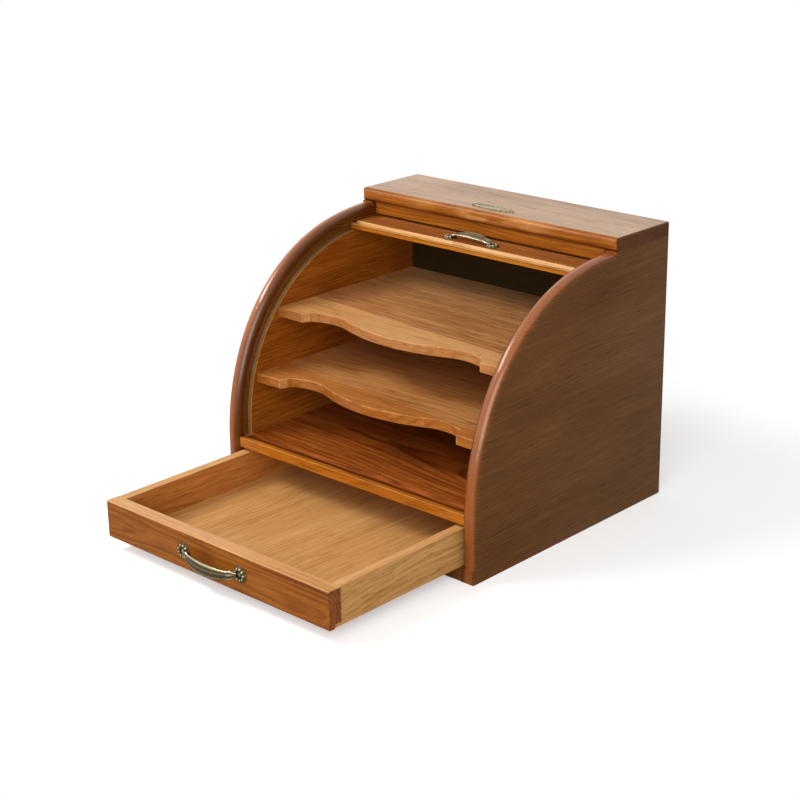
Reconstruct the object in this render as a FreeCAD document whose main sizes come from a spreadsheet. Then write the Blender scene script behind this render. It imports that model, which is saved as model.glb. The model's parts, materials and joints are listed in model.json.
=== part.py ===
import FreeCAD, Part
import math
import os

import Sketcher
from FreeCAD import Placement, Rotation, Vector

# Roll-top storage box: a case with a quarter-round front, two shelves, a drawer
# under them and a slatted curtain that rolls back under the top board.
# Millimetres. X runs to the right, Y to the back and Z up, and the origin is the
# centre of the underside of the case.

DRIVING_SIZES = {
    # Case
    "case_width": 330.0,
    "case_depth": 289.0,
    "side_height": 269.5,
    "side_thick": 15.0,
    "spring_height": 60.0,
    "flank_angle": 25.0,
    "flank_radius": 235.0,
    "shoulder_angle": 12.0,
    "shoulder_radius": 306.0,
    "roll_flat": 0.2,
    "seat_setback": 1.0,
    "base_thick": 13.2,
    "housing_depth": 4.0,
    "housing_setback": 18.0,
    "board_arris": 0.8,
    # Top board and its rails
    "top_thick": 13.5,
    "top_depth": 84.5,
    "top_nose": 5.2,
    "top_corner": 4.0,
    "top_arris": 1.6,
    "rail_setback": 4.8,
    "rail_tall": 12.2,
    "rail_thick": 12.0,
    "back_rail_tall": 18.0,
    # Divider over the drawer, and the shelves
    "divider_setback": 4.6,
    "divider_top": 63.9,
    "divider_thick": 10.2,
    "rebate_lip": 4.4,
    "shelf_thick": 9.6,
    "upper_space": 82.8,
    "lower_tab_gap": 2.2,
    "lower_bay_depth": 18.5,
    "lower_bulge_back": 1.5,
    "upper_tab_gap": 1.0,
    "upper_bay_depth": 15.2,
    "upper_bulge_back": -0.8,
    "tab_length": 33.0,
    "tab_facet": 5.0,
    "bay_radius": 55.0,
    "bay_centre_in": 64.0,
    # Backs
    "inner_back_thick": 3.0,
    "inner_back_gap": 0.6,
    "inner_back_rise": 2.0,
    "back_thick": 4.0,
    "back_rabbet": 7.0,
    # Track in the sides, and the curtain
    "roll_axis_back": 193.6,
    "roll_axis_up": 73.4,
    "track_radius": 182.4,
    "track_width": 10.2,
    "track_depth": 6.0,
    "track_back_setback": 15.7,
    "bend_radius": 30.0,
    "slat_thick": 8.6,
    "slat_shoulder": 6.0,
    "slat_running_gap": 0.6,
    "slat_spacing": 0.4,
    "tongue_end_gap": 0.5,
    "canvas_thick": 0.6,
    "canvas_margin": 2.0,
    "lead_width": 22.4,
    "lead_bevel_rise": 4.4,
    "lead_bevel_run": 3.2,
    "lead_side_gap": 0.6,
    "lead_tongue_thick": 6.0,
    "lead_tongue_back": 1.0,
    "lead_before_rail": 21.0,
    "lead_landing_gap": 0.3,
    "tail_floor_gap": 0.3,
    # Drawer
    "drawer_open": 171.7,
    "drawer_kept_in": 53.0,
    "drawer_tall": 37.0,
    "drawer_side_gap": 1.3,
    "drawer_floor_gap": 0.3,
    "drawer_rear_gap": 2.0,
    "drawer_front_thick": 14.5,
    "drawer_front_lap": 1.0,
    "drawer_side_thick": 10.0,
    "drawer_back_thick": 10.0,
    "drawer_back_drop": 3.0,
    "drawer_bottom_thick": 4.0,
    "drawer_bottom_lap": 7.0,
    # Name plate
    "plate_length": 53.0,
    "plate_width": 13.0,
    "plate_end_width": 4.6,
    "plate_end_bulge": 1.4,
    "plate_thick": 1.2,
    "plate_rim": 1.2,
    "plate_field_depth": 0.5,
    "plate_setback": 17.0,
    "plate_pin_inset": 3.4,
    "plate_pin_radius": 0.8,
    "plate_pin_head": 1.3,
    "plate_pin_dome": 0.65,
    "plate_pin_length": 6.0,
    # Bow pulls
    "drawer_pull_spacing": 76.0,
    "drawer_pull_rosette": 8.2,
    "drawer_pull_rise": 9.6,
    "drawer_pull_droop": 4.5,
    "drawer_pull_blade": 12.0,
    "drawer_pull_neck": 5.6,
    "drawer_pull_thick": 2.6,
    "lead_pull_spacing": 55.0,
    "lead_pull_rosette": 6.9,
    "lead_pull_rise": 8.2,
    "lead_pull_droop": 0.6,
    "lead_pull_blade": 9.6,
    "lead_pull_neck": 4.6,
    "lead_pull_thick": 2.2,
    "bow_end_inset": 2.2,
    "bow_waist": 1.4,
    "rosette_rim": 1.0,
    "rosette_rise": 3.0,
    "rosette_crown": 3.4,
    "petal_bulge": 0.8,
    # Fastenings
    "fastening_fit": 0.05,
    "pull_screw_radius": 1.25,
    "pull_screw_head": 2.3,
    "pull_screw_dome": 0.9,
    "pull_screw_seat": 1.2,
    "pull_screw_length": 8.0,
    "pull_screw_room": 1.0,
    "lead_screw_room": 0.4,
    "back_screw_radius": 1.5,
    "back_screw_head_radius": 3.0,
    "back_screw_length": 14.0,
    "back_screw_inset": 30.0,
    "back_screw_room": 1.0,
    "dowel_radius": 3.0,
    "dowel_length": 20.0,
    "dowel_inset": 16.0,
}

SLAT_COUNT = 30
PETAL_COUNT = 9
PETAL_STEPS = 4
BOW_STEPS = 14
BLADE_SIDES = 12
BLADE_DOME_POWER = 0.8
BLADE_LOBE_POWER = 1.3
HALF_TURN = 180
QUARTER_TURN = 90


class Size:
    """A number together with the sheet formula that gives it."""

    def __init__(self, value, text):
        self.value = float(value)
        self.text = text

    def __add__(self, other):
        other = as_size(other)
        return Size(self.value + other.value, f"({self.text} + {other.text})")

    def __radd__(self, other):
        return as_size(other) + self

    def __sub__(self, other):
        other = as_size(other)
        return Size(self.value - other.value, f"({self.text} - {other.text})")

    def __rsub__(self, other):
        return as_size(other) - self

    def __mul__(self, other):
        other = as_size(other)
        return Size(self.value * other.value, f"({self.text} * {other.text})")

    def __rmul__(self, other):
        return as_size(other) * self

    def __truediv__(self, other):
        other = as_size(other)
        return Size(self.value / other.value, f"({self.text} / {other.text})")

    def __neg__(self):
        return Size(-self.value, f"(-1 * {self.text})")


def as_size(number):
    """A plain number as a Size."""
    return number if isinstance(number, Size) else Size(number, f"({float(number)})")


def root(size):
    """Square root of a Size."""
    return Size(math.sqrt(size.value), f"sqrt({size.text})")


def sine(angle):
    """Sine of an angle in degrees."""
    return Size(math.sin(math.radians(angle.value)), f"sin({angle.text})")


def cosine(angle):
    """Cosine of an angle in degrees."""
    return Size(math.cos(math.radians(angle.value)), f"cos({angle.text})")


def arccosine(size):
    """Arc cosine in degrees, as a plain number."""
    return Size(math.degrees(math.acos(size.value)), f"(acos({size.text}) / (1 deg))")


def radians(angle):
    """An angle in degrees, as radians."""
    return angle * math.radians(1)


def degrees(angle):
    """An angle in radians, as degrees."""
    return angle * math.degrees(1)


doc = FreeCAD.newDocument("RollTopBox")
sheet = doc.addObject("Spreadsheet::Sheet", "Sizes")
for row, (alias, number) in enumerate(DRIVING_SIZES.items(), start=1):
    sheet.set(f"A{row}", alias)
    sheet.set(f"B{row}", str(number))
    sheet.setAlias(f"B{row}", alias)
places = doc.addObject("Spreadsheet::Sheet", "Places")
place_names = []
doc.recompute()


def size(alias):
    """The sheet's cell of that name, as a Size."""
    return Size(sheet.get(alias), f"Sizes.{alias}")


def place(alias, formula):
    """Write a worked-out value into the second sheet under a name of its own."""
    place_names.append(alias)
    row = len(place_names)
    places.set(f"A{row}", alias)
    places.set(f"B{row}", "=" + formula.text)
    places.setAlias(f"B{row}", alias)
    return Size(formula.value, f"Places.{alias}")


# Helpers for sketched bodies

def new_body(label):
    """An empty body whose label names the finished piece."""
    body = doc.addObject("PartDesign::Body", label)
    body.Label = label
    return body


def new_sketch(body, name, plane, offset=None):
    """A sketch on one of the body's origin planes, moved along the plane's normal."""
    sketch = body.newObject("Sketcher::SketchObject", f"{body.Label}_{name}")
    found = [item for item in body.Origin.OriginFeatures if item.Role == plane]
    sketch.AttachmentSupport = [(found[0], "")]
    sketch.MapMode = "FlatFace"
    if offset is not None:
        sketch.AttachmentOffset = Placement(Vector(0, 0, offset.value), Rotation())
        sketch.setExpression("AttachmentOffset.Base.z", offset.text)
    return sketch


def constrain(sketch, kind, references, amount):
    """Add one dimension and tie it to its formula."""
    index = sketch.addConstraint(Sketcher.Constraint(kind, *references, amount.value))
    sketch.setExpression(f"Constraints[{index}]", amount.text)


def arc_centre(start, end, radius, turn):
    """Centre of the shorter arc; turn is 1 for a left-hand bend and -1 for a right."""
    chord = end - start
    half = chord.Length / 2
    rise = math.sqrt(radius * radius - half * half)
    across = Vector(-chord.y, chord.x, 0).normalize()
    return (start + end) / 2 + across * rise * turn


def add_loop(sketch, corners, arcs=None):
    """A closed outline. arcs maps an edge's number to its radius and turn."""
    arcs = arcs or {}
    first = sketch.GeometryCount
    count = len(corners)
    points = [Vector(across.value, up.value, 0) for across, up in corners]
    ends = []
    for number in range(count):
        start, end = points[number], points[(number + 1) % count]
        if number in arcs:
            radius, turn = arcs[number]
            centre = arc_centre(start, end, radius.value, turn)
            low, high = (start, end) if turn > 0 else (end, start)
            circle = Part.Circle(centre, Vector(0, 0, 1), radius.value)
            begin = math.atan2(low.y - centre.y, low.x - centre.x)
            finish = math.atan2(high.y - centre.y, high.x - centre.x)
            if finish < begin:
                finish += 2 * math.pi
            sketch.addGeometry(Part.ArcOfCircle(circle, begin, finish), False)
            ends.append((1, 2) if turn > 0 else (2, 1))
        else:
            sketch.addGeometry(Part.LineSegment(start, end), False)
            ends.append((1, 2))
    for number in range(count):
        following = (number + 1) % count
        sketch.addConstraint(Sketcher.Constraint(
            "Coincident", first + number, ends[number][1],
            first + following, ends[following][0]))
    for number, (across, up) in enumerate(corners):
        point = (first + number, ends[number][0])
        constrain(sketch, "DistanceX", (-1, 1, *point), as_size(across))
        constrain(sketch, "DistanceY", (-1, 1, *point), as_size(up))
        if number in arcs:
            constrain(sketch, "Radius", (first + number,), arcs[number][0])
    return sketch


def add_box_loop(sketch, low, high):
    """A rectangle between two corners."""
    return add_loop(sketch, [low, (high[0], low[1]), high, (low[0], high[1])])


def add_circle(sketch, centre, radius):
    """A circle with its centre and radius tied to their formulas."""
    place = Vector(centre[0].value, centre[1].value, 0)
    index = sketch.addGeometry(Part.Circle(place, Vector(0, 0, 1), radius.value), False)
    constrain(sketch, "DistanceX", (-1, 1, index, 3), centre[0])
    constrain(sketch, "DistanceY", (-1, 1, index, 3), centre[1])
    constrain(sketch, "Radius", (index,), radius)


def extrude(body, kind, name, sketch, length, backwards=False, both_ways=False):
    """A pad or a pocket of a sketch, as deep as its formula says."""
    before = body.Shape.Volume if kind == "PartDesign::Pocket" else 0.0
    feature = body.newObject(kind, f"{body.Label}_{name}")
    feature.Profile = sketch
    feature.setExpression("Length", length.text)
    feature.Reversed = backwards
    feature.Midplane = both_ways
    doc.recompute()
    if kind == "PartDesign::Pocket" and feature.Shape.Volume > before - 0.1:
        raise RuntimeError(f"{feature.Name} cuts nothing")
    return feature


def pad(body, name, sketch, length, **settings):
    return extrude(body, "PartDesign::Pad", name, sketch, length, **settings)


def pocket(body, name, sketch, depth, **settings):
    return extrude(body, "PartDesign::Pocket", name, sketch, depth, **settings)


def soften(body, name, radius, wanted):
    """Round every edge of the body so far that the test picks."""
    base = body.Tip
    edges = [f"Edge{number}" for number, edge in enumerate(base.Shape.Edges, start=1)
             if wanted(edge)]
    feature = body.newObject("PartDesign::Fillet", f"{body.Label}_{name}")
    feature.Base = (base, edges)
    feature.setExpression("Radius", radius.text)
    doc.recompute()
    return feature


def lies_at(edge, axis, place):
    """True where a whole edge has that one coordinate."""
    low = {"x": edge.BoundBox.XMin, "y": edge.BoundBox.YMin, "z": edge.BoundBox.ZMin}[axis]
    high = {"x": edge.BoundBox.XMax, "y": edge.BoundBox.YMax, "z": edge.BoundBox.ZMax}[axis]
    return abs(low - place) < 1e-3 and abs(high - place) < 1e-3


def finished_shape(label, shape):
    """A piece whose shape is made by the functions below."""
    feature = doc.addObject("Part::Feature", label)
    feature.Label = label
    feature.Shape = shape
    return feature


# Places that several pieces share

case_width, case_depth = size("case_width"), size("case_depth")
side_thick, side_height = size("side_thick"), size("side_height")
base_thick = size("base_thick")
front = place("front_plane", -1 * case_depth / 2)
back = place("back_plane", case_depth / 2)
outer_half = place("outer_half", case_width / 2)
inner_half = place("inner_half", outer_half - side_thick)
housed_half = place("housed_half", inner_half + size("housing_depth"))
roll_radius = place("roll_radius", (side_thick - size("roll_flat")) / 2)

axis_y = place("axis_back", front + size("roll_axis_back"))
axis_z = size("roll_axis_up")

top_front = place("top_front", back - size("top_depth"))
top_upper = place("top_upper", side_height + size("top_thick"))
divider_top = size("divider_top")
divider_front = place("divider_front", front + size("divider_setback"))
divider_under = place("divider_under", divider_top - size("divider_thick"))
landing = place("landing", axis_z - size("lead_width") / 2 - size("lead_landing_gap"))

track_outer = size("track_radius")
track_inner = place("track_inner", track_outer - size("track_width"))
track_middle = place("track_middle", (track_outer + track_inner) / 2)
track_half = size("track_width") / 2
bend_radius = size("bend_radius")
bend_y = place("bend_back", back - size("track_back_setback") - bend_radius)
bend_reach = place("bend_reach", track_middle - bend_radius)
bend_share_back = place("bend_share_back", (bend_y - axis_y) / bend_reach)
bend_share_up = place("bend_share_up", root(1 - bend_share_back * bend_share_back))
bend_z = place("bend_up", axis_z + bend_reach * bend_share_up)
bend_angle = place("bend_angle", HALF_TURN - arccosine(bend_share_back))

slat_outer = place("slat_outer", track_outer - size("slat_running_gap"))
canvas_outer = place("canvas_outer", slat_outer - size("slat_thick"))
rail_front = place("rail_front", top_front + size("rail_setback"))
lead_reach = place("lead_reach", (axis_y - rail_front + size("lead_before_rail")) / slat_outer)
lead_middle_angle = place("lead_middle_angle", arccosine(lead_reach))
half_lead_angle = place("half_lead_angle", degrees(size("lead_width") / 2 / canvas_outer))
open_angle = place("open_angle", lead_middle_angle - half_lead_angle)
canvas_inner = place("canvas_inner", canvas_outer - size("canvas_thick"))
bend_canvas = place("bend_canvas", bend_radius - (track_middle - canvas_outer))
front_run = place("front_run", canvas_outer * radians(bend_angle - open_angle))
bend_run = place("bend_run", bend_canvas * radians(HALF_TURN - bend_angle))
back_run = place("back_run", bend_z - base_thick - size("tail_floor_gap"))
slat_pitch = place("slat_pitch", (front_run + bend_run + back_run - size("lead_width"))
                   / SLAT_COUNT)
slat_half = place("slat_half", (slat_pitch - size("slat_spacing")) / 2)
tongue_half = place("tongue_half", inner_half + size("track_depth") - size("tongue_end_gap"))

inner_back_rear = place("inner_back_rear", bend_y + bend_canvas - size("canvas_thick")
                        - size("inner_back_gap"))
inner_back_front = place("inner_back_front", inner_back_rear - size("inner_back_thick"))
back_panel_front = place("back_panel_front", back - size("back_thick"))

drawer_low = place("drawer_low", base_thick + size("drawer_floor_gap"))
drawer_top = place("drawer_top", drawer_low + size("drawer_tall"))
drawer_front_y = place("drawer_front_face", divider_front - size("drawer_open"))
drawer_rear_y = place("drawer_rear_face", inner_back_front - size("drawer_rear_gap")
                      - size("drawer_open"))
drawer_half = place("drawer_half", inner_half - size("drawer_side_gap"))
box_half = place("drawer_box_half", drawer_half - size("drawer_front_lap"))


def on_circle(radius, height):
    """Where the front part of a circle about the roll's axis is at that height."""
    below = height - axis_z
    return axis_y - root(radius * radius - below * below), height


def shelf_levels():
    """Tops of the lower and the upper shelf: they part the height over the divider evenly."""
    upper = side_height - size("upper_space")
    return (divider_top + upper) / 2, upper


def tab_front(shelf_top, gap):
    """A shelf's tabs stop a gap behind the track."""
    return on_circle(track_inner, shelf_top)[0] + gap


def at_bend(radius):
    """Where a circle about the roll's axis hands over to the bend."""
    return axis_y + radius * bend_share_back, axis_z + radius * bend_share_up


lower_shelf_top, upper_shelf_top = shelf_levels()
lower_shelf_top = place("lower_shelf_top", lower_shelf_top)
upper_shelf_top = place("upper_shelf_top", upper_shelf_top)
lower_tab = place("lower_tab", tab_front(lower_shelf_top, size("lower_tab_gap")))
upper_tab = place("upper_tab", tab_front(upper_shelf_top, size("upper_tab_gap")))
doc.recompute()


# Case

def front_curve():
    """Corners and radii of a side's front, three arcs that run into each other.

    The flank's arc springs upright from the front plane, and the shoulder's arc ends
    level at the side's height. The radius of the crown between them follows from both.
    """
    flank_radius, shoulder_radius = size("flank_radius"), size("shoulder_radius")
    flank_sine, flank_cosine = sine(size("flank_angle")), cosine(size("flank_angle"))
    lean_sine, lean_cosine = sine(size("shoulder_angle")), cosine(size("shoulder_angle"))
    spring = size("spring_height")
    crown_radius = place("crown_radius",
                         (side_height - spring - flank_radius * flank_sine
                          - shoulder_radius * (1 - lean_cosine))
                         / (lean_cosine - flank_sine))
    crown_y = place("crown_back", front + flank_radius
                    - (flank_radius - crown_radius) * flank_cosine)
    crown_z = place("crown_up", spring + (flank_radius - crown_radius) * flank_sine)
    shoulder_y = crown_y - crown_radius * lean_sine
    corners = [(front, spring),
               (crown_y - crown_radius * flank_cosine, crown_z + crown_radius * flank_sine),
               (shoulder_y, crown_z + crown_radius * lean_cosine),
               (shoulder_y + shoulder_radius * lean_sine, side_height)]
    return corners, (flank_radius, crown_radius, shoulder_radius)


def build_side_panel(label, hand, curve):
    """A side with its quarter-round front, rolled edge, track and housings."""
    body = new_body(label)
    inside = hand * inner_half
    outline = new_sketch(body, "outline", "YZ_Plane",
                         inner_half if hand > 0 else -outer_half)
    nothing = as_size(0)
    corners, radii = curve
    add_loop(outline,
             [(front, nothing), *corners, (back, side_height), (back, nothing)],
             {number: (radius, -1) for number, radius in enumerate(radii, start=1)})
    pad(body, "board", outline, side_thick)

    def on_rolled_edge(edge):
        on_a_face = edge.BoundBox.XLength < 1e-3
        return on_a_face and not lies_at(edge, "z", 0) and not lies_at(edge, "y", back.value)

    soften(body, "roll", roll_radius, on_rolled_edge)

    face = inner_half if hand > 0 else -outer_half
    seat = new_sketch(body, "seat", "YZ_Plane", face)
    add_box_loop(seat, (top_front + size("seat_setback"),
                        side_height - roll_radius - size("seat_setback")),
                 (back, side_height))
    pad(body, "top_seat", seat, side_thick)
    toe = new_sketch(body, "toe", "YZ_Plane", face)
    add_box_loop(toe, (front, nothing), (front + side_thick / 2, base_thick))
    pad(body, "square_toe", toe, side_thick)

    track = new_sketch(body, "track", "YZ_Plane", inside)
    bend_outer, bend_inner = bend_radius + track_half, bend_radius - track_half
    add_loop(track,
             [on_circle(track_outer, landing), at_bend(track_outer),
              (bend_y + bend_outer, bend_z), (bend_y + bend_outer, base_thick),
              (bend_y + bend_inner, base_thick), (bend_y + bend_inner, bend_z),
              at_bend(track_inner), on_circle(track_inner, landing)],
             {0: (track_outer, -1), 1: (bend_outer, -1),
              5: (bend_inner, 1), 6: (track_inner, 1)})
    pocket(body, "track_groove", track, size("track_depth"), backwards=hand > 0)

    housings = new_sketch(body, "housings", "YZ_Plane", inside)
    setback = size("housing_setback")
    for board_front, board_rear, low, thick in (
            (front, back_panel_front, nothing, base_thick),
            (divider_front, inner_back_front, divider_under, size("divider_thick")),
            (lower_tab, inner_back_front, lower_shelf_top - size("shelf_thick"),
             size("shelf_thick")),
            (upper_tab, inner_back_front, upper_shelf_top - size("shelf_thick"),
             size("shelf_thick"))):
        add_box_loop(housings, (board_front + setback, low), (board_rear, low + thick))
    pocket(body, "board_housings", housings, size("housing_depth"), backwards=hand > 0)

    rabbet = new_sketch(body, "rabbet", "YZ_Plane", inside)
    add_box_loop(rabbet, (back_panel_front, nothing), (back, side_height))
    pocket(body, "back_rabbet", rabbet, size("back_rabbet"), backwards=hand > 0)

    dowels = new_sketch(body, "dowels", "XY_Plane", side_height)
    for along in dowel_places():
        add_circle(dowels, (hand * (outer_half - side_thick / 2), along),
                   size("dowel_radius") + size("fastening_fit"))
    pocket(body, "dowel_holes", dowels, size("dowel_length") / 2)
    return body


def dowel_places():
    """How far back each top dowel stands."""
    inset = size("dowel_inset")
    return top_front + size("top_nose") + inset, back - size("back_thick") - inset


def build_housed_board(label, board_front, board_rear, low, thick):
    """A board across the case, whose ends go into the sides' housings."""
    body = new_body(label)
    outline = new_sketch(body, "outline", "XY_Plane", low)
    step = board_front + size("housing_setback")
    add_loop(outline,
             [(-housed_half, board_rear), (-housed_half, step), (-inner_half, step),
              (-inner_half, board_front), (inner_half, board_front), (inner_half, step),
              (housed_half, step), (housed_half, board_rear)])
    pad(body, "board", outline, thick)
    return body


def soften_front(body, board_front):
    """Take the sharpness off a board's two long front edges."""
    soften(body, "front_arris", size("board_arris"),
           lambda edge: lies_at(edge, "y", board_front.value)
           and edge.BoundBox.XLength > inner_half.value)


def build_base_board():
    body = build_housed_board("base_board", front, back_panel_front, as_size(0), base_thick)
    soften_front(body, front)
    drill_for_back_screws(body, base_thick / 2)
    return body


def drill_for_back_screws(body, height):
    """Blind holes in a piece that the back is screwed to."""
    holes = new_sketch(body, "holes", "XZ_Plane", -back_panel_front)
    for across in back_screw_places():
        add_circle(holes, (across, height),
                   size("back_screw_radius") + size("fastening_fit"))
    depth = size("back_screw_length") - size("back_thick") + size("back_screw_room")
    pocket(body, "screw_holes", holes, depth, backwards=True)


def build_divider_board():
    """The board over the drawer, rebated where the curtain's lead slat lands."""
    body = build_housed_board("divider_board", divider_front, inner_back_front,
                              divider_under, size("divider_thick"))
    rebate = new_sketch(body, "rebate", "YZ_Plane")
    rebate_front = divider_front + size("rebate_lip")
    rebate_rear = on_circle(canvas_inner, landing)[0] + size("slat_running_gap")
    add_box_loop(rebate, (rebate_front, landing), (rebate_rear, divider_top))
    pocket(body, "landing_rebate", rebate, 2 * inner_half, both_ways=True)
    soften_front(body, divider_front)
    return body


def build_shelf(label, shelf_top, tab, bay_depth, bulge_back):
    """A shelf whose front edge has a tab at each side, two bays and a bulge between."""
    body = new_body(label)
    step = tab + size("housing_setback")
    tab_end = inner_half - size("tab_length")
    facet_end = tab_end - size("tab_facet")
    bay_radius = size("bay_radius")
    bay_x = inner_half - size("bay_centre_in")
    bay_y = tab + bay_depth - bay_radius
    across = facet_end - bay_x
    bay_start = bay_y + root(bay_radius * bay_radius - across * across)
    sweep = bay_depth - bulge_back
    radii_sum = (bay_x * bay_x + sweep * sweep) / (2 * sweep)
    bulge_radius = radii_sum - bay_radius
    join_x = bay_x - bay_radius * bay_x / radii_sum
    join_y = bay_y + bay_radius * (radii_sum - sweep) / radii_sum
    outline = new_sketch(body, "outline", "XY_Plane", shelf_top - size("shelf_thick"))
    add_loop(outline,
             [(-housed_half, inner_back_front), (housed_half, inner_back_front),
              (housed_half, step), (inner_half, step), (inner_half, tab), (tab_end, tab),
              (facet_end, bay_start), (join_x, join_y), (-join_x, join_y),
              (-facet_end, bay_start), (-tab_end, tab), (-inner_half, tab),
              (-inner_half, step), (-housed_half, step)],
             {6: (bay_radius, 1), 7: (bulge_radius, -1), 8: (bay_radius, 1)})
    pad(body, "board", outline, size("shelf_thick"))

    def on_shaped_front(edge):
        level = edge.BoundBox.ZLength < 1e-3
        ahead = edge.BoundBox.YMax < step.value - 1e-3
        along = edge.BoundBox.XLength > 1e-3
        return level and ahead and along

    soften(body, "front_arris", size("board_arris"), on_shaped_front)
    return body


def build_inner_back():
    """The dark board that closes the compartments in front of the rolled-up curtain."""
    body = new_body("inner_back")
    outline = new_sketch(body, "outline", "YZ_Plane")
    add_box_loop(outline, (inner_back_front, base_thick),
                 (inner_back_rear, bend_z + size("inner_back_rise")))
    pad(body, "board", outline, 2 * inner_half, both_ways=True)
    return body


def back_screw_places():
    """Where the screws through the back stand across the case."""
    far = inner_half - size("back_screw_inset")
    return -far, as_size(0), far


def back_screw_heights():
    """The lower screws go into the base board and the upper ones into the back rail."""
    return base_thick / 2, side_height - size("back_rail_tall") / 2


def build_back_panel():
    """The thin outer back, let into the rabbets of the sides."""
    body = new_body("back_panel")
    outline = new_sketch(body, "outline", "XZ_Plane", -back)
    panel_half = inner_half + size("back_rabbet")
    add_box_loop(outline, (-panel_half, as_size(0)), (panel_half, side_height))
    pad(body, "board", outline, size("back_thick"))
    centres = new_sketch(body, "screw_centres", "XZ_Plane", -back)
    for across in back_screw_places():
        for height in back_screw_heights():
            add_circle(centres, (across, height),
                       size("back_screw_radius") + size("fastening_fit"))
    doc.recompute()
    hole = body.newObject("PartDesign::Hole", "back_panel_holes")
    hole.Profile = centres
    hole.DepthType = "ThroughAll"
    hole.setExpression("Diameter", (2 * (size("back_screw_radius")
                                         + size("fastening_fit"))).text)
    hole.HoleCutType = "Countersink"
    hole.HoleCutCustomValues = True
    hole.setExpression("HoleCutDiameter", (2 * (size("back_screw_head_radius")
                                                + size("fastening_fit"))).text)
    hole.HoleCutCountersinkAngle = 90
    hole.Reversed = True
    doc.recompute()
    return body


def build_top_board():
    """The top board with its rounded front."""
    body = new_body("top_board")
    outline = new_sketch(body, "outline", "XY_Plane", side_height)
    add_box_loop(outline, (-outer_half, top_front), (outer_half, back))
    pad(body, "board", outline, size("top_thick"))
    soften(body, "corners", size("top_corner"),
           lambda edge: lies_at(edge, "y", top_front.value) and edge.BoundBox.ZLength > 1)
    soften(body, "top_edges", size("top_arris"),
           lambda edge: lies_at(edge, "z", top_upper.value)
           and not lies_at(edge, "y", back.value))
    nose = size("top_nose")
    rounding = new_sketch(body, "rounding", "YZ_Plane")
    add_loop(rounding, [(top_front, side_height), (top_front + nose, side_height),
                        (top_front, side_height + nose)], {1: (nose, -1)})
    add_loop(rounding, [(top_front, top_upper), (top_front, top_upper - nose),
                        (top_front + nose, top_upper)], {1: (nose, -1)})
    pocket(body, "nose", rounding, case_width, both_ways=True)
    dowels = new_sketch(body, "dowels", "XY_Plane", side_height)
    for hand in (-1, 1):
        for along in dowel_places():
            add_circle(dowels, (hand * (outer_half - side_thick / 2), along),
                       size("dowel_radius") + size("fastening_fit"))
    pocket(body, "dowel_holes", dowels, size("dowel_length") / 2, backwards=True)
    pins = new_sketch(body, "pins", "XY_Plane", top_upper)
    for across in plate_pin_places():
        add_circle(pins, (across, top_front + size("plate_setback")),
                   size("plate_pin_radius") + size("fastening_fit"))
    pocket(body, "pin_holes", pins, size("plate_pin_length"))
    return body


def build_rail(label, face, tall):
    """A rail across the case, under the top board, from its front face back."""
    body = new_body(label)
    outline = new_sketch(body, "outline", "YZ_Plane")
    add_box_loop(outline, (face, side_height - tall),
                 (face + size("rail_thick"), side_height))
    pad(body, "rail", outline, 2 * inner_half, both_ways=True)
    return body


def build_back_rail():
    body = build_rail("top_back_rail", back_panel_front - size("rail_thick"),
                      size("back_rail_tall"))
    drill_for_back_screws(body, back_screw_heights()[1])
    return body


def build_back_screws():
    """Countersunk screws through the back, heads flush."""
    head, shank = size("back_screw_head_radius").value, size("back_screw_radius").value
    taper = head - shank
    screw = Part.makeCone(head, shank, taper).fuse(
        Part.makeCylinder(shank, size("back_screw_length").value))
    screw.Placement = Placement(Vector(), Rotation(Vector(1, 0, 0), 90))
    screws = []
    for across in back_screw_places():
        for height in back_screw_heights():
            copy = screw.copy()
            copy.translate(Vector(across.value, back.value, height.value))
            screws.append(copy)
    return finished_shape("back_screws", Part.makeCompound(screws))


def build_top_dowels():
    """The dowels that hold the top board on the sides."""
    length = size("dowel_length").value
    dowels = []
    for hand in (-1, 1):
        for along in dowel_places():
            foot = Vector(hand * (outer_half - side_thick / 2).value, along.value,
                          side_height.value - length / 2)
            dowels.append(Part.makeCylinder(size("dowel_radius").value, length, foot))
    return finished_shape("top_dowels", Part.makeCompound(dowels))


# Name plate

def oval_loop(sketch, centre_y, shrink):
    """A pointed oval of two long arcs and two blunt ends, made smaller all round."""
    end_half = size("plate_end_width") / 2 - shrink / 2
    half_width = size("plate_width") / 2 - shrink
    reach = size("plate_length") / 2 - size("plate_end_bulge") - shrink
    belly = half_width - end_half
    long_radius = (reach * reach + belly * belly) / (2 * belly)
    bulge = size("plate_end_bulge")
    end_radius = (end_half * end_half + bulge * bulge) / (2 * bulge)
    add_loop(sketch,
             [(-reach, centre_y - end_half), (reach, centre_y - end_half),
              (reach, centre_y + end_half), (-reach, centre_y + end_half)],
             {0: (long_radius, 1), 1: (end_radius, 1),
              2: (long_radius, 1), 3: (end_radius, 1)})


def plate_pin_places():
    far = size("plate_length") / 2 - size("plate_pin_inset")
    return -far, far


def build_name_plate():
    """An oval plate with a raised rim and a bare field, pinned at both ends."""
    body = new_body("name_plate")
    centre_y = top_front + size("plate_setback")
    outline = new_sketch(body, "outline", "XY_Plane", top_upper)
    oval_loop(outline, centre_y, as_size(0))
    pad(body, "plate", outline, size("plate_thick"))
    field = new_sketch(body, "field", "XY_Plane", top_upper + size("plate_thick"))
    oval_loop(field, centre_y, size("plate_rim"))
    pocket(body, "field_recess", field, size("plate_field_depth"))
    holes = new_sketch(body, "holes", "XY_Plane", top_upper + size("plate_thick"))
    for across in plate_pin_places():
        add_circle(holes, (across, centre_y),
                   size("plate_pin_radius") + size("fastening_fit"))
    pocket(body, "pin_holes", holes, size("plate_thick"))
    return body


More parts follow.
